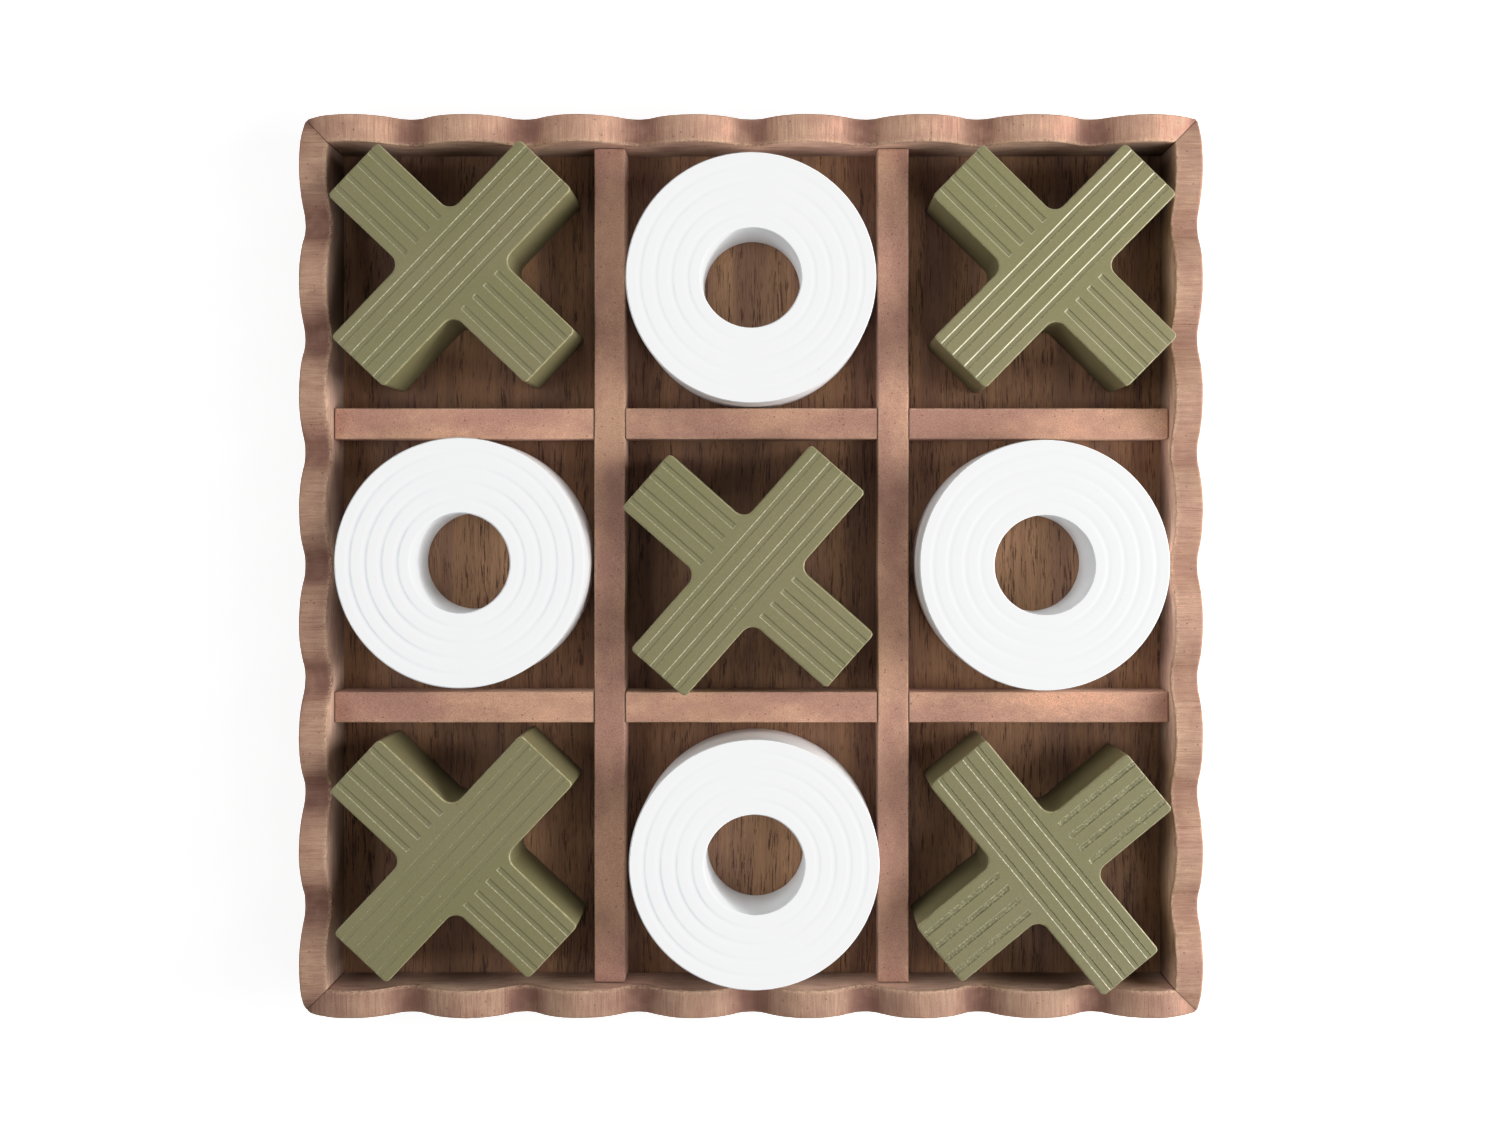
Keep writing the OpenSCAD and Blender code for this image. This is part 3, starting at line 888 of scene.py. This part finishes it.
def base_board():
    ob = new_object("base_board", *panel_mesh())
    cut(ob, under_base(bore(BASE_LENGTH)))
    place = coords(ob)
    x, y, z = place.T
    boxes = [box_mm(node) for node in ("o_mid_left", "x_centre", "o_mid_right")]
    middles = [(low[0] + high[0]) / 2 for low, high in boxes]
    away_x, away_y = (np.min([np.abs(v - m) for m in middles], 0) for v in (x, y))
    column, row = (np.argmin([np.abs(v - m) for m in middles], 0) for v in (x, y))
    share = np.array(CELL_SHADE)[2 - row, column]
    # painted light and shade: the middle column gets lighter towards the right, and the rear
    # right corner is darker
    share = share - 0.15 * (np.clip((x - middles[1]) / 40, -1, 1) * (column == 1))
    corner = smooth(118, 140, x) * smooth(104, 136, y)
    dim = smooth(16.5, 30, np.hypot(away_x, away_y)) * (share + 0.34 * corner)
    attributes = {"lc": place, "dim": np.clip(dim, 0, 1) * (z > FLOOR - 0.5)}
    finish_piece(ob, FLOOR_VENEER, "tray", "base_panel", attributes)


base_board()


# ---- dividing strips --------------------------------------------------------
STRIPS = {
    node: box_mm(node)
    for node in ("divider_left", "divider_right", "divider_front", "divider_rear")
}
LAP_Z = FLOOR + (STRIPS["divider_left"][1][2] - FLOOR) / 2


def strip_section(half, low_z, high_z, first_r, second_r):
    """(across, z) of a strip's closed section; the top edges have their own radii."""
    foot = 0.25  # chamfer
    rows = [(-(half - foot), low_z), (-half, low_z + foot)]
    for k in range(1, 7):
        rows.append((-half, low_z + foot + (high_z - first_r - low_z - foot) * k / 6))
    for inward, drop in quarter(range(1, 5), 5):
        rows.append((-half + first_r * inward, high_z - first_r * drop))
    for k in np.linspace(0, 1, 11):
        rows.append((-(half - first_r) * (1 - k) + (half - second_r) * k, high_z))
    for inward, drop in quarter(range(4, -1, -1), 5):
        rows.append((half - second_r * inward, high_z - second_r * drop))
    for k in range(5, -1, -1):
        rows.append((half, low_z + foot + (high_z - second_r - low_z - foot) * k / 6))
    return rows + [(half - foot, low_z), (0, low_z)]


def strip(name, node, seed, tone, middle=0.0, left=0.0):
    """A dividing strip, halved over those that cross it.

    tone: how light its stain is, set per strip as painted light and shade. middle: how much
    darker it is painted midway along, as painted shade.
    left: how much lighter towards its low end.
    """
    axis = 0 if node in ("divider_front", "divider_rear") else 1  # the one it runs along
    notch_up = axis == 0
    low, high = STRIPS[node]
    side_low, side_high = low[1 - axis], high[1 - axis]
    centre, half = (side_low + side_high) / 2, (side_high - side_low) / 2
    start, stop, low_z, high_z = low[axis], high[axis], low[2], high[2]
    inner = np.linspace(start + 0.9, stop - 0.9, int((stop - start) / 0.55))
    ends = [start, start + 0.12, start + 0.4], [stop - 0.4, stop - 0.12, stop]
    along = np.concatenate([ends[0], inner, ends[1]])
    end = np.minimum(along - start, stop - along)
    radii = [
        0.5 + 0.13 * noise(along / 7, k, 0, seed) + 0.08 * noise(along / 1.9, k + 4, 0, seed)
        for k in (1, 2)
    ]
    rows = strip_section(half, low_z, high_z, *radii)
    verts = np.zeros((len(along), len(rows), 3))
    pull = 0.22 * np.exp(-((end / 0.2) ** 2))  # the ends are drawn in
    for i, (across, z) in enumerate(rows):
        up = smooth(low_z + 0.5, low_z + 3, z)
        sway = up * 0.05 * noise(along / 23, z / 9, 0, seed + 1)
        across = across + sway * np.sign(across + 1e-9) * (np.abs(across) > half - 1)
        across = across * (1 - pull / half)
        z = z - pull * smooth(high_z - 1, high_z - 0.3, z)
        z = z + up * (
            -0.06
            + 0.05 * noise(along / 29, across / 12, 1, seed + 2)
            + 0.022 * noise(along / 2.6, across / 2.6, 2, seed + 3)
        ) * (z > high_z - 1.2)
        verts[:, i, 0], verts[:, i, 1], verts[:, i, 2] = along, across + centre, z
    verts = verts.reshape(-1, 3)
    if axis == 1:
        verts = verts[:, [1, 0, 2]]
    ob = new_object(name, verts, bar_faces(len(along), len(rows)))
    if notch_up:
        others, gap, notch_z = ("divider_left", "divider_right"), 0.22, (LAP_Z - 0.07, high_z + 2)
    else:
        others, gap, notch_z = ("divider_front", "divider_rear"), 0.15, (low_z - 2, LAP_Z + 0.07)
    spans, cutters = [], []
    for other in others:
        span = STRIPS[other][0][axis] - gap, STRIPS[other][1][axis] + gap
        spans.append(span)
        corners = [[0, 0, z] for z in notch_z]
        for corner, at, side in zip(corners, span, (side_low - 3, side_high + 3)):
            corner[axis], corner[1 - axis] = at, side
        cutters.append(block(*corners))
    cut(ob, cutters)
    place = coords(ob)
    along, across, z = place[:, axis], place[:, 1 - axis] - centre, place[:, 2]
    from_edge = np.hypot(half - np.abs(across), np.maximum(high_z - z, 0))
    seam = 1 - smooth(0.05, 0.4, np.minimum(along - start, stop - along))
    if notch_up:
        for first, last in spans:
            off = np.where(along < (first + last) / 2, first - along, along - last)
            seam = np.maximum(seam, (1 - smooth(0.02, 0.3, off)) * (off > -0.05))
    lighter = 1 + left * smooth(-48, -66, along)
    # painted shade: darker midway along
    mid_shade = 1 - middle * (1 - smooth(40, 70, np.abs(along)))
    attributes = {
        "lc": np.stack([along + 400 * seed, across, z], -1),
        "topm": 1 - smooth(0.2, 0.8, high_z - z),
        # painted shade: darker down the sides towards the floor
        "tone": tone * lighter * mid_shade * (1 - 0.4 * smooth(high_z - 2, low_z, z)),
        "inner": np.ones(len(place)),
        "valley": np.zeros(len(place)),
        "edge": 0.8 * (1 - smooth(0.2, 0.6, from_edge)),
        "seam": 0.7 * seam * (z > low_z + 0.3),
    }
    finish_piece(ob, STRIP_WOOD, "tray", node, attributes)


strip("left_strip", "divider_left", seed=11, tone=0.87, middle=0.1)
strip("right_strip", "divider_right", seed=12, tone=0.93)
strip("front_strip", "divider_front", seed=13, tone=0.96)
strip("rear_strip", "divider_rear", seed=14, tone=0.98, middle=0.12, left=0.15)


# ---- crosses ----------------------------------------------------------------
# Two grooved arms: grooves run all along the X arm, and along the Y arm as far as a stop.
ARM, ARM_HALF = 90.8 / 2, 24.1 / 2  # reach from the middle, half width
FILLET_R, TIP_R, TOP_R, BOTTOM_R = 4.2, 1.5, 0.55, 0.45
GROOVE_PITCH = 5.35
GROOVE_OUT, GROOVE_IN, GROOVE_DEEP = 0.98, 0.64, 0.3  # half widths at top and bottom
GROOVES = [k * GROOVE_PITCH for k in (-1.5, -0.5, 0.5, 1.5)]
GROOVE_START = ARM_HALF + 0.9  # of the short grooves
# mesh lines either side of a groove's middle
OFFSETS = [s * u for s in (-1, 1) for u in (0.5, 0.63, 0.7, 0.76, 0.82, 0.88, 0.94, 1.0, 1.12)]
CROSS_LOW, CROSS_HIGH = box_mm("x_centre")
PIECE_Z = CROSS_LOW[2]
PIECE_HEIGHT = CROSS_HIGH[2] - CROSS_LOW[2]


def cross_loop(inset):
    """Points of the outline, inset by some distance, anticlockwise."""
    tip_r, fillet_r = TIP_R - inset, FILLET_R + inset
    tip_x, tip_y, fillet = ARM - TIP_R, ARM_HALF - TIP_R, ARM_HALF + FILLET_R
    points = []

    def arc(x, y, r, first, last, count):
        for a in np.radians(np.linspace(first, last, count)):
            points.append((x + r * math.cos(a), y + r * math.sin(a)))

    arc(tip_x, -tip_y, tip_r, -90, 0, 7)
    points += [(ARM - inset, y) for y in sorted(k + e for k in GROOVES for e in OFFSETS)]
    arc(tip_x, tip_y, tip_r, 0, 90, 7)
    points += [(x, ARM_HALF - inset) for x in np.linspace(tip_x, fillet, 20)[1:-1]]
    arc(fillet, fillet, fillet_r, 270, 180, 15)
    points += [(ARM_HALF - inset, y) for y in np.linspace(fillet, tip_x, 20)[1:-1]]
    x, y = np.array(points).T
    return np.concatenate([
        np.stack([x * cos - y * sin, x * sin + y * cos], -1)
        for cos, sin in ((1, 0), (0, 1), (-1, 0), (0, -1))
    ])


def cross_depth(x, y):
    """Distance inside the outline of a cross."""
    far, near = np.maximum(np.abs(x), np.abs(y)), np.minimum(np.abs(x), np.abs(y))
    centre = ARM_HALF + FILLET_R
    fillet = np.hypot(centre - far, centre - near) - FILLET_R
    arm = np.minimum(ARM_HALF - near, ARM - far)
    tip = TIP_R - np.hypot(far - (ARM - TIP_R), near - (ARM_HALF - TIP_R))
    arm = np.where((far > ARM - TIP_R) & (near > ARM_HALF - TIP_R), tip, arm)
    return np.where(far >= centre, arm, fillet)


def cross_plan():
    """Top face of a cross in plan: points and triangles, with lines along every groove."""
    verts, edges = [], []

    def chain(points, closed=False):
        base = len(verts)
        verts.extend(Vector((float(x), float(y))) for x, y in points)
        edges.extend((base + i, base + i + 1) for i in range(len(points) - 1))
        if closed:
            edges.append((base + len(points) - 1, base))

    for inward, _ in quarter(range(6), 5):
        chain(cross_loop(TOP_R * inward), True)
    chain(cross_loop(1.0), True)
    start = GROOVE_START
    long = np.linspace(-ARM, ARM, 71)
    tail = np.linspace(start + 1.2, ARM, 24)
    short = np.concatenate([[start, start + 0.25, start + 0.6], tail])
    for k in GROOVES:
        for e in OFFSETS:
            chain([(x, k + e) for x in long])
            for side in (-1, 1):
                chain([(k + e, side * y) for y in short])
    for side in (-1, 1):
        for k in GROOVES:
            for y in (start - 0.25, start, start + 0.25, start + 0.6):
                chain([(k - 1.1, side * y), (k + 1.1, side * y)])
    # loose points fill the flats, clear of the outline and the grooves
    x, y = np.meshgrid(np.arange(-46, 46.1, 1.6), np.arange(-46, 46.1, 1.6))
    x, y = x.ravel() + 0.31, y.ravel() + 0.17
    keep = cross_depth(x, y) > 1.35
    keep &= ~(np.min([np.abs(y - k) for k in GROOVES], 0) < 1.4)
    off = np.min([np.abs(x - k) for k in GROOVES], 0)
    keep &= ~((off < 1.4) & (np.abs(y) > start - 0.8))
    verts.extend(Vector((float(a), float(b))) for a, b in zip(x[keep], y[keep]))
    result = delaunay_2d_cdt(verts, edges, [], 1, 1e-4)
    return np.array([tuple(p) for p in result[0]]), [list(face) for face in result[2]]


def boundary(triangles):
    """The single outside loop of a triangulated sheet."""
    sides = dict.fromkeys(s for face in triangles for s in zip(face, face[1:] + face[:1]))
    after = {a: b for a, b in sides if (b, a) not in sides}
    start = next(iter(after))
    loop, at = [start], after[start]
    while at != start:
        loop.append(at)
        at = after[at]
    return loop


PLAN_POINTS, PLAN_TRIANGLES = cross_plan()
PLAN_RIM = boundary(PLAN_TRIANGLES)


def groove(off):
    """Share of the full depth of a flat-bottomed groove, off from its middle line."""
    return smooth(GROOVE_OUT, GROOVE_IN, np.abs(off))


def cross_grooves(x, y, up, seed, broken, glint):
    """Groove depth, rubbed arrises with a painted highlight on their lit side, chips, and the
    sideways wander in x and y.
    """
    sunk, rub_and_glint, chip, shift_x, shift_y = np.zeros((5, len(x)))
    glint_width = max(glint, 0)
    for i, k in enumerate(GROOVES):
        # long groove
        off = y - k
        wander = 0.05 * noise(x / 19, i, 1, seed) + 0.02 * noise(x / 2.4, i, 2, seed)
        full = 0.86 + 0.14 * noise(x / 7, i, 3, seed) + 0.1 * noise(x / 1.7, i, 8, seed)
        sunk = np.maximum(sunk, groove(off) * full * (0.6 + 0.3 * broken))
        from_arris = np.abs(np.abs(off) - 0.86)
        line = 1 - smooth(0.04 + 0.1 * glint_width, 0.2 + 0.14 * glint_width, from_arris)
        # painted highlight: the arris line is strongest on the side facing the light
        lit = np.where(off * up > 0, 1.0, 0.25)
        rub_and_glint = np.maximum(rub_and_glint, line * lit * (1 + min(glint, 0)))
        chip = np.maximum(chip, line * (0.4 + 0.6 * broken))
        shift_y += wander * np.exp(-((off / 1.3) ** 2))
        # short grooves, one on each side
        off = x - k
        from_arris = np.abs(np.abs(off) - 0.86)
        for side in (-1, 1):
            out = side * y
            run = smooth(GROOVE_START - 0.05, GROOVE_START + 0.45, out)
            full = 0.86 + 0.12 * noise(out / 7, i, 4 + side, seed)
            full = full + 0.1 * noise(out / 1.7, i, 12 + side, seed)
            miss = smooth(0.1, 0.5, noise(out / 2.2, i, 20 + side, seed)) * broken * 0.45
            sunk = np.maximum(sunk, groove(off) * run * full * (1 - miss))
            on = (out > GROOVE_START - 0.1).astype(float)
            # painted highlight: the short grooves' arris line is stronger on the side facing the
            # light
            line = (1 - smooth(0.04, 0.2, from_arris)) * np.where(off < 0, 0.7, 0.2)
            from_tip = np.abs(out - GROOVE_START - 0.05)
            tip = (np.abs(off) < 0.8) * (1 - smooth(0.0, 0.35, from_tip))
            rub_and_glint = np.maximum(rub_and_glint, np.maximum(line * on, 0.8 * tip) * (1 - miss))
            chip = np.maximum(chip, (1 - smooth(0.85, 1.1, np.abs(off))) * on * broken)
            wander = 0.05 * noise(out / 17, i, 30 + side, seed)
            shift_x += wander * np.exp(-((off / 1.3) ** 2)) * on
    return sunk, rub_and_glint, chip, shift_x, shift_y


def cross_sides(top, seed):
    """Rings of points from the top edge down to an eased bottom edge."""
    base = PLAN_POINTS[PLAN_RIM]
    along = np.roll(base, -1, 0) - np.roll(base, 1, 0)
    along /= np.linalg.norm(along, axis=1)[:, None]
    out = np.stack([along[:, 1], -along[:, 0]], -1)
    rim_xy, rim_z = top[PLAN_RIM, :2], top[PLAN_RIM, 2]
    rings = []
    for share in (0.97, 0.9, 0.8, 0.7, 0.6, 0.5, 0.4, 0.3, 0.2, 0.1, 0.0):
        z = BOTTOM_R + (rim_z - BOTTOM_R) * share
        push = 0.05 * noise(base[:, 0] / 13, base[:, 1] / 13, z / 9, seed + 5) * (1 - share**6)
        place = base + (rim_xy - base) * share**6 + out * push[:, None]
        rings.append(np.concatenate([place, z[:, None]], -1))
    for inward, rise in quarter(range(1, 4), 3):
        z = np.full((len(base), 1), BOTTOM_R * rise)
        rings.append(np.concatenate([base - out * (BOTTOM_R * inward), z], -1))
    return rings


def cross(name, node, angle, seed, material, broken, glint, coat):
    """broken: how ragged the short grooves are. glint: how bright and whole the rubbed lines
    of the long grooves are with their painted highlight, below 0 for faint ones. coat: how light
    this one's paint is."""
    x, y = PLAN_POINTS[:, 0].copy(), PLAN_POINTS[:, 1].copy()
    depth = np.maximum(cross_depth(x, y), 0)
    eased = TOP_R - np.sqrt(np.maximum(TOP_R**2 - np.maximum(TOP_R - depth, 0) ** 2, 0))
    # painted highlight: the arrises on the lit side of the long grooves are brighter
    up = 1.0 if math.sin(math.radians(angle)) > 0 else -1.0
    sunk, rub_and_glint, chip, shift_x, shift_y = cross_grooves(x, y, up, seed, broken, glint)
    drop = ((sunk * GROOVE_DEEP) ** 4 + eased**4) ** 0.25
    z = PIECE_HEIGHT - drop - 0.05 + 0.035 * noise(x / 15, y / 15, 0, seed)
    z = z + 0.008 * noise(x / 2.0, y / 2.0, 3, seed)
    top = np.stack([x + shift_x, y + shift_y, z], -1)
    rings = cross_sides(top, seed)
    around, top_count = len(PLAN_RIM), len(top)
    rows = [PLAN_RIM]
    for k in range(len(rings)):
        rows.append([top_count + k * around + i for i in range(around)])
    faces = [list(face) for face in PLAN_TRIANGLES]
    for upper, lower in zip(rows[:-1], rows[1:]):
        for i in range(around):
            j = (i + 1) % around
            faces.append([upper[i], lower[i], lower[j], upper[j]])
    faces.append(rows[-1])
    local = np.concatenate([top] + rings)
    low, high = box_mm(node)
    middle = (low + high) / 2
    ob = new_object(name, turned(local, angle) + [middle[0], middle[1], PIECE_Z], faces)
    x, y, z = local.T
    side_zeros = np.zeros(len(local) - top_count)
    below = (PIECE_HEIGHT - z)[top_count:]
    corner = np.exp(-((np.hypot(np.abs(x) - ARM, np.abs(y) - ARM_HALF)) / 1.2) ** 2)
    other = np.exp(-((np.hypot(np.abs(y) - ARM, np.abs(x) - ARM_HALF)) / 1.2) ** 2)
    corner = np.maximum(corner, other)
    edge = np.concatenate([1 - smooth(0.08, 0.55, depth), 1 - smooth(0.2, 0.7, below)])
    side_shade = np.concatenate([np.zeros(top_count), below / PIECE_HEIGHT])
    attributes = {
        "lc": np.stack([x + 300 * seed, y, z], -1),
        "edge": np.maximum(edge, 0.5 * corner * (z > 3)),
        "rub_and_glint": np.concatenate([rub_and_glint * smooth(0.0, 0.5, depth), side_zeros]),
        "deep": np.concatenate([sunk, side_zeros]),
        "chip": np.concatenate([chip, side_zeros]),
        "low": np.clip(side_shade, 0, 1),
        "glint": np.full(len(local), max(glint, 0.0)),
        "coat": np.full(len(local), coat),
        "side": np.concatenate([np.zeros(top_count), side_zeros + 1]),
    }
    finish_piece(ob, material, node, node, attributes, sharp=50)


# name, node, angle in degrees, seed, broken, glint, coat
CROSSES = [
    ("cross_rear_left", "x_rear_left", 46.4, 21, 0.0, 0.1, 1.0),
    ("cross_rear_right", "x_rear_right", 45.5, 22, 0.1, 0.9, 1.04),
    ("cross_centre", "x_centre", 48.6, 23, 0.0, 0.1, 0.97),
    ("cross_front_left", "x_front_left", 46.8, 24, 0.1, -0.5, 0.97),
    ("cross_front_right", "x_front_right", -50.5, 25, 0.9, 0.1, 0.9),
]
OLIVE = olive_paint("olive_satin", seed=5.0)
for name, node, angle, seed, *look in CROSSES:
    cross(name, node, angle, seed, OLIVE, *look)


# ---- rings ------------------------------------------------------------------
HOLE_R = 33.3 / 2
RING_TOP_R, RING_BOTTOM_R = 0.75, 0.5  # edge roundings
RING_DEEP, RING_PITCH = 0.22, 5.3  # four round grooves in the top
RING_SEGMENTS = 288
# mesh lines either side of a groove's middle
RING_OFFSETS = sorted(
    {s * u for s in (-1, 1) for u in (0, 0.15, 0.32, 0.5, 0.68, 0.82, 0.95, 1.1, 1.3, 1.5)}
)
HOLE, TOP, OUTSIDE, UNDERSIDE = range(4)


def ring_profile(outer, height, grooves):
    """Closed section from the bottom of the hole over the top: radius, z, which surface."""
    inner, ease, foot = HOLE_R, RING_TOP_R, RING_BOTTOM_R
    wall = height - ease - foot
    rows = [(inner + foot * b, foot * a, HOLE) for a, b in quarter(range(4), 4)]
    rows += [(inner, foot + wall * v, HOLE) for v in np.linspace(0, 1, 12)]
    rows += [(inner + ease * a, height - ease * b, TOP) for a, b in quarter(range(1, 6), 6)]
    first, last = inner + ease, outer - ease
    radii = [first]
    for middle in grooves:
        radii += [middle + off for off in RING_OFFSETS] + [middle + RING_PITCH / 2]
    radii = sorted(r for r in radii if first <= r < last - 0.2) + [last]
    rows += [(r, height, TOP) for r in radii]
    rows += [(outer - ease * b, height - ease * a, OUTSIDE) for a, b in quarter(range(1, 7), 6)]
    rows += [(outer, foot + wall * v, OUTSIDE) for v in np.linspace(1, 0, 12)[1:]]
    rows += [(outer - foot * a, foot * b, OUTSIDE) for a, b in quarter(range(1, 5), 4)]
    for v in (0.25, 0.5, 0.75):
        rows.append((outer - foot + (inner - outer + 2 * foot) * v, 0.0, UNDERSIDE))
    return rows


def ring(name, node, seed, material):
    low, high = box_mm(node)
    middle = (low + high) / 2
    outer, height = (high[0] - low[0]) / 2, high[2] - low[2]
    first = (outer + HOLE_R) / 2 - 2.5 * RING_PITCH
    grooves = [first + k * RING_PITCH for k in range(1, 5)]
    profile = np.array(ring_profile(outer, height, grooves))
    surface = profile[None, :, 2]
    hole, top, outside = surface == HOLE, surface == TOP, surface == OUTSIDE
    angles = (np.arange(RING_SEGMENTS) / RING_SEGMENTS * 2 * math.pi)[:, None]
    cos, sin = np.cos(angles), np.sin(angles)
    r, z = (np.tile(profile[:, i], (RING_SEGMENTS, 1)) for i in (0, 1))
    sunk = np.zeros_like(r)
    for k, groove_r in enumerate(grooves, 1):
        off = profile[None, :, 0] - groove_r
        wander = 0.07 * noise(cos * 1.3 + 5, sin * 1.3 + 5, k, seed)
        r = r + wander * np.exp(-((off / 1.4) ** 4)) * top
        full = 1 + 0.1 * noise(cos * 3 + 5, sin * 3 + 5, 10 + k, seed)
        sunk = np.maximum(sunk, full * smooth(1.45, 0.0, np.abs(off)))
    sunk *= top
    z = z - RING_DEEP * sunk
    r = r + hole * (0.05 * noise(cos * 1.5 + 9, sin * 1.5 + 9, z / 12, seed + 1))
    r = r + outside * (-0.05 + 0.05 * noise(cos * 1.7 + 9, sin * 1.7 + 9, z / 12, seed + 2))
    z = z + top * (
        -0.04
        + 0.035 * noise(r * cos / 14, r * sin / 14, 0, seed + 3)
        + 0.008 * noise(r * cos / 2, r * sin / 2, 2, seed + 4)
    )
    local = np.stack([r * cos, r * sin, z], -1).reshape(-1, 3)
    faces = grid_faces(RING_SEGMENTS + 1, len(profile), wrap=True)
    faces = [[i % len(local) for i in face] for face in faces]
    ob = new_object(name, local + [middle[0], middle[1], PIECE_Z], faces)
    r, z = r.ravel(), z.ravel()
    near = np.minimum(np.abs(r - HOLE_R), np.abs(r - outer))
    attributes = {
        "lc": local + [300 * seed, 0, 0],
        "edge": (1 - smooth(0.2, 0.9, near)) * (1 - smooth(0.3, 1.0, height - z)),
        "deep": sunk.ravel(),
    }
    finish_piece(ob, material, node, node, attributes, sharp=50)


WHITE = white_paint("matt_white", seed=7.0)
for name, node, seed in (
    ("ring_rear", "o_rear_centre", 31),
    ("ring_left", "o_mid_left", 32),
    ("ring_right", "o_mid_right", 33),
    ("ring_front", "o_front_centre", 34),
):
    ring(name, node, seed, WHITE)


# ---- brads ------------------------------------------------------------------
def brad(length):
    """A small nail: domed head, ribs under it, shank and a tapered point."""
    # radius, z below the surface of the head
    head = [(0, 0), (0.7, 0.02), (0.95, 0.12), (HEAD_R, 0.25), (HEAD_R, 0.5), (0.9, 0.62)]
    profile = [(r, SINK + z) for r, z in head + [(SHANK_R, 0.72)]]
    z = SINK + 1.1
    for _ in range(5):
        profile += [(SHANK_R, z), (SHANK_R + 0.03, z + 0.12), (SHANK_R, z + 0.24)]
        z += 0.6
    # radius, distance from the point
    point = [(SHANK_R, 2.0), (0.42, 1.2), (0.2, 0.5), (0.05, 0.06), (0, 0)]
    profile += [(r, length - back) for r, back in point]
    return lathe(profile, segments=20)


def brad_set(name, node, solids):
    ob = new_object(name, *joined(solids))
    finish_piece(ob, BRAD_STEEL, "tray", node, {"lc": coords(ob)}, sharp=30)


brad_set("mitre_nails", "corner_brads", at_corners(brad(CORNER_LENGTH)))
brad_set("panel_nails", "base_brads", under_base(brad(BASE_LENGTH)))


# ---- floor, light and camera, in metres -------------------------------------
def studio_white(name):
    """White that glows to the camera alone, rising to plain white further out."""
    mat = MaterialGraph(name)
    place = mat.node("ShaderNodeTexCoord").outputs["Object"]
    color = mat.mix(mat.noise(place, scale=3), (0.9, 0.9, 0.9), (0.92, 0.92, 0.92))
    camera_ray = mat.node("ShaderNodeLightPath").outputs["Is Camera Ray"]
    reach = mat.node("ShaderNodeVectorMath", {0: place}, operation="LENGTH").outputs["Value"]
    glow = mat.ramp(reach, span=(0.35, 1.3), to=(0.85, 1.4))
    return mat.finish(
        Base_Color=color,
        Roughness=0.9,
        Specular_IOR_Level=0.0,
        Emission_Color=color,
        Emission_Strength=mat.times(camera_ray, glow),
    )


def stage_floor():
    mesh = bpy.data.meshes.new("studio_floor")
    half, z = 12.0, -0.0003
    corners = [(-half, -half, z), (half, -half, z), (half, half, z), (-half, half, z)]
    mesh.from_pydata(corners, [], [(0, 1, 2, 3)])
    ob = bpy.data.objects.new("studio_floor", mesh)
    bpy.context.scene.collection.objects.link(ob)
    mesh.materials.append(studio_white("studio_white"))


def softbox(name, azimuth, elevation, distance, power):
    """A square soft box looking at the tray; azimuth 0 is +X, 90 is +Y."""
    data = bpy.data.lights.new(name, "AREA")
    data.shape = "RECTANGLE"
    data.size = data.size_y = 0.45
    data.energy = power
    ob = bpy.data.objects.new(name, data)
    bpy.context.scene.collection.objects.link(ob)
    turn, rise = math.radians(azimuth), math.radians(elevation)
    away = Vector(
        (math.cos(turn) * math.cos(rise), math.sin(turn) * math.cos(rise), math.sin(rise))
    )
    ob.location = away * distance
    ob.rotation_euler = away.to_track_quat("Z", "Y").to_euler()
    ob.visible_camera = False


def studio_world():
    """A faint white fill that the camera sees as bright white."""
    fill, seen_extra = 0.03, 1.2
    world = bpy.data.worlds.new("studio")
    world.use_nodes = True
    tree = world.node_tree
    background = tree.nodes["Background"]
    background.inputs["Color"].default_value = (1, 1, 1, 1)
    path = tree.nodes.new("ShaderNodeLightPath")
    level = tree.nodes.new("ShaderNodeMath")
    level.operation = "MULTIPLY_ADD"
    level.inputs[1].default_value = seen_extra
    level.inputs[2].default_value = fill
    tree.links.new(path.outputs["Is Camera Ray"], level.inputs[0])
    tree.links.new(level.outputs[0], background.inputs["Strength"])
    bpy.context.scene.world = world


def camera():
    """Looks straight down, its frame shifted to the tray."""
    data = bpy.data.cameras.new("camera")
    data.sensor_fit = "HORIZONTAL"
    data.sensor_width = 36.0
    data.lens = 36.98
    data.shift_x, data.shift_y = -0.0197, -0.02877
    data.clip_start, data.clip_end = 0.02, 20.0
    ob = bpy.data.objects.new("camera", data)
    ob.location = (0.00963, 0.01457, 0.540 + FLOOR * MM)
    ob.rotation_euler = (0, 0, 0)
    bpy.context.scene.collection.objects.link(ob)
    bpy.context.scene.camera = ob


# scene value, displayed value: straight up to mid tones, then a soft shoulder for the whites
DISPLAY_CURVE = (
    (0.2, 0.2), (0.4, 0.4), (0.6, 0.6), (0.68, 0.695),
    (0.79, 0.862), (0.9, 0.9), (1.05, 0.92), (1.2, 0.95),
)
WHITE_AT = 1.4  # scene value displayed as full white


def display_curve():
    view = bpy.context.scene.view_settings
    view.view_transform = "Standard"
    view.use_curve_mapping = True
    view.curve_mapping.white_level = (WHITE_AT,) * 3
    combined = view.curve_mapping.curves[3]
    for scene_value, shown in DISPLAY_CURVE:
        combined.points.new(scene_value / WHITE_AT, shown)
    combined.points[-1].location = (1.0, 1.0)
    view.curve_mapping.update()


stage_floor()
# name, azimuth and elevation in degrees, distance, power in watts
for light in (
    ("key_low", 0, 20, 0.9, 6.4),
    ("key_high", 0, 36, 0.9, 3.3),
    ("front_right", -40, 45, 0.9, 2.1),
    ("rear", 90, 36, 0.9, 1.7),
    ("left", 180, 45, 0.9, 2.4),
    ("overhead", 0, 88, 1.1, 0.7),
):
    softbox(*light)
studio_world()
camera()
display_curve()
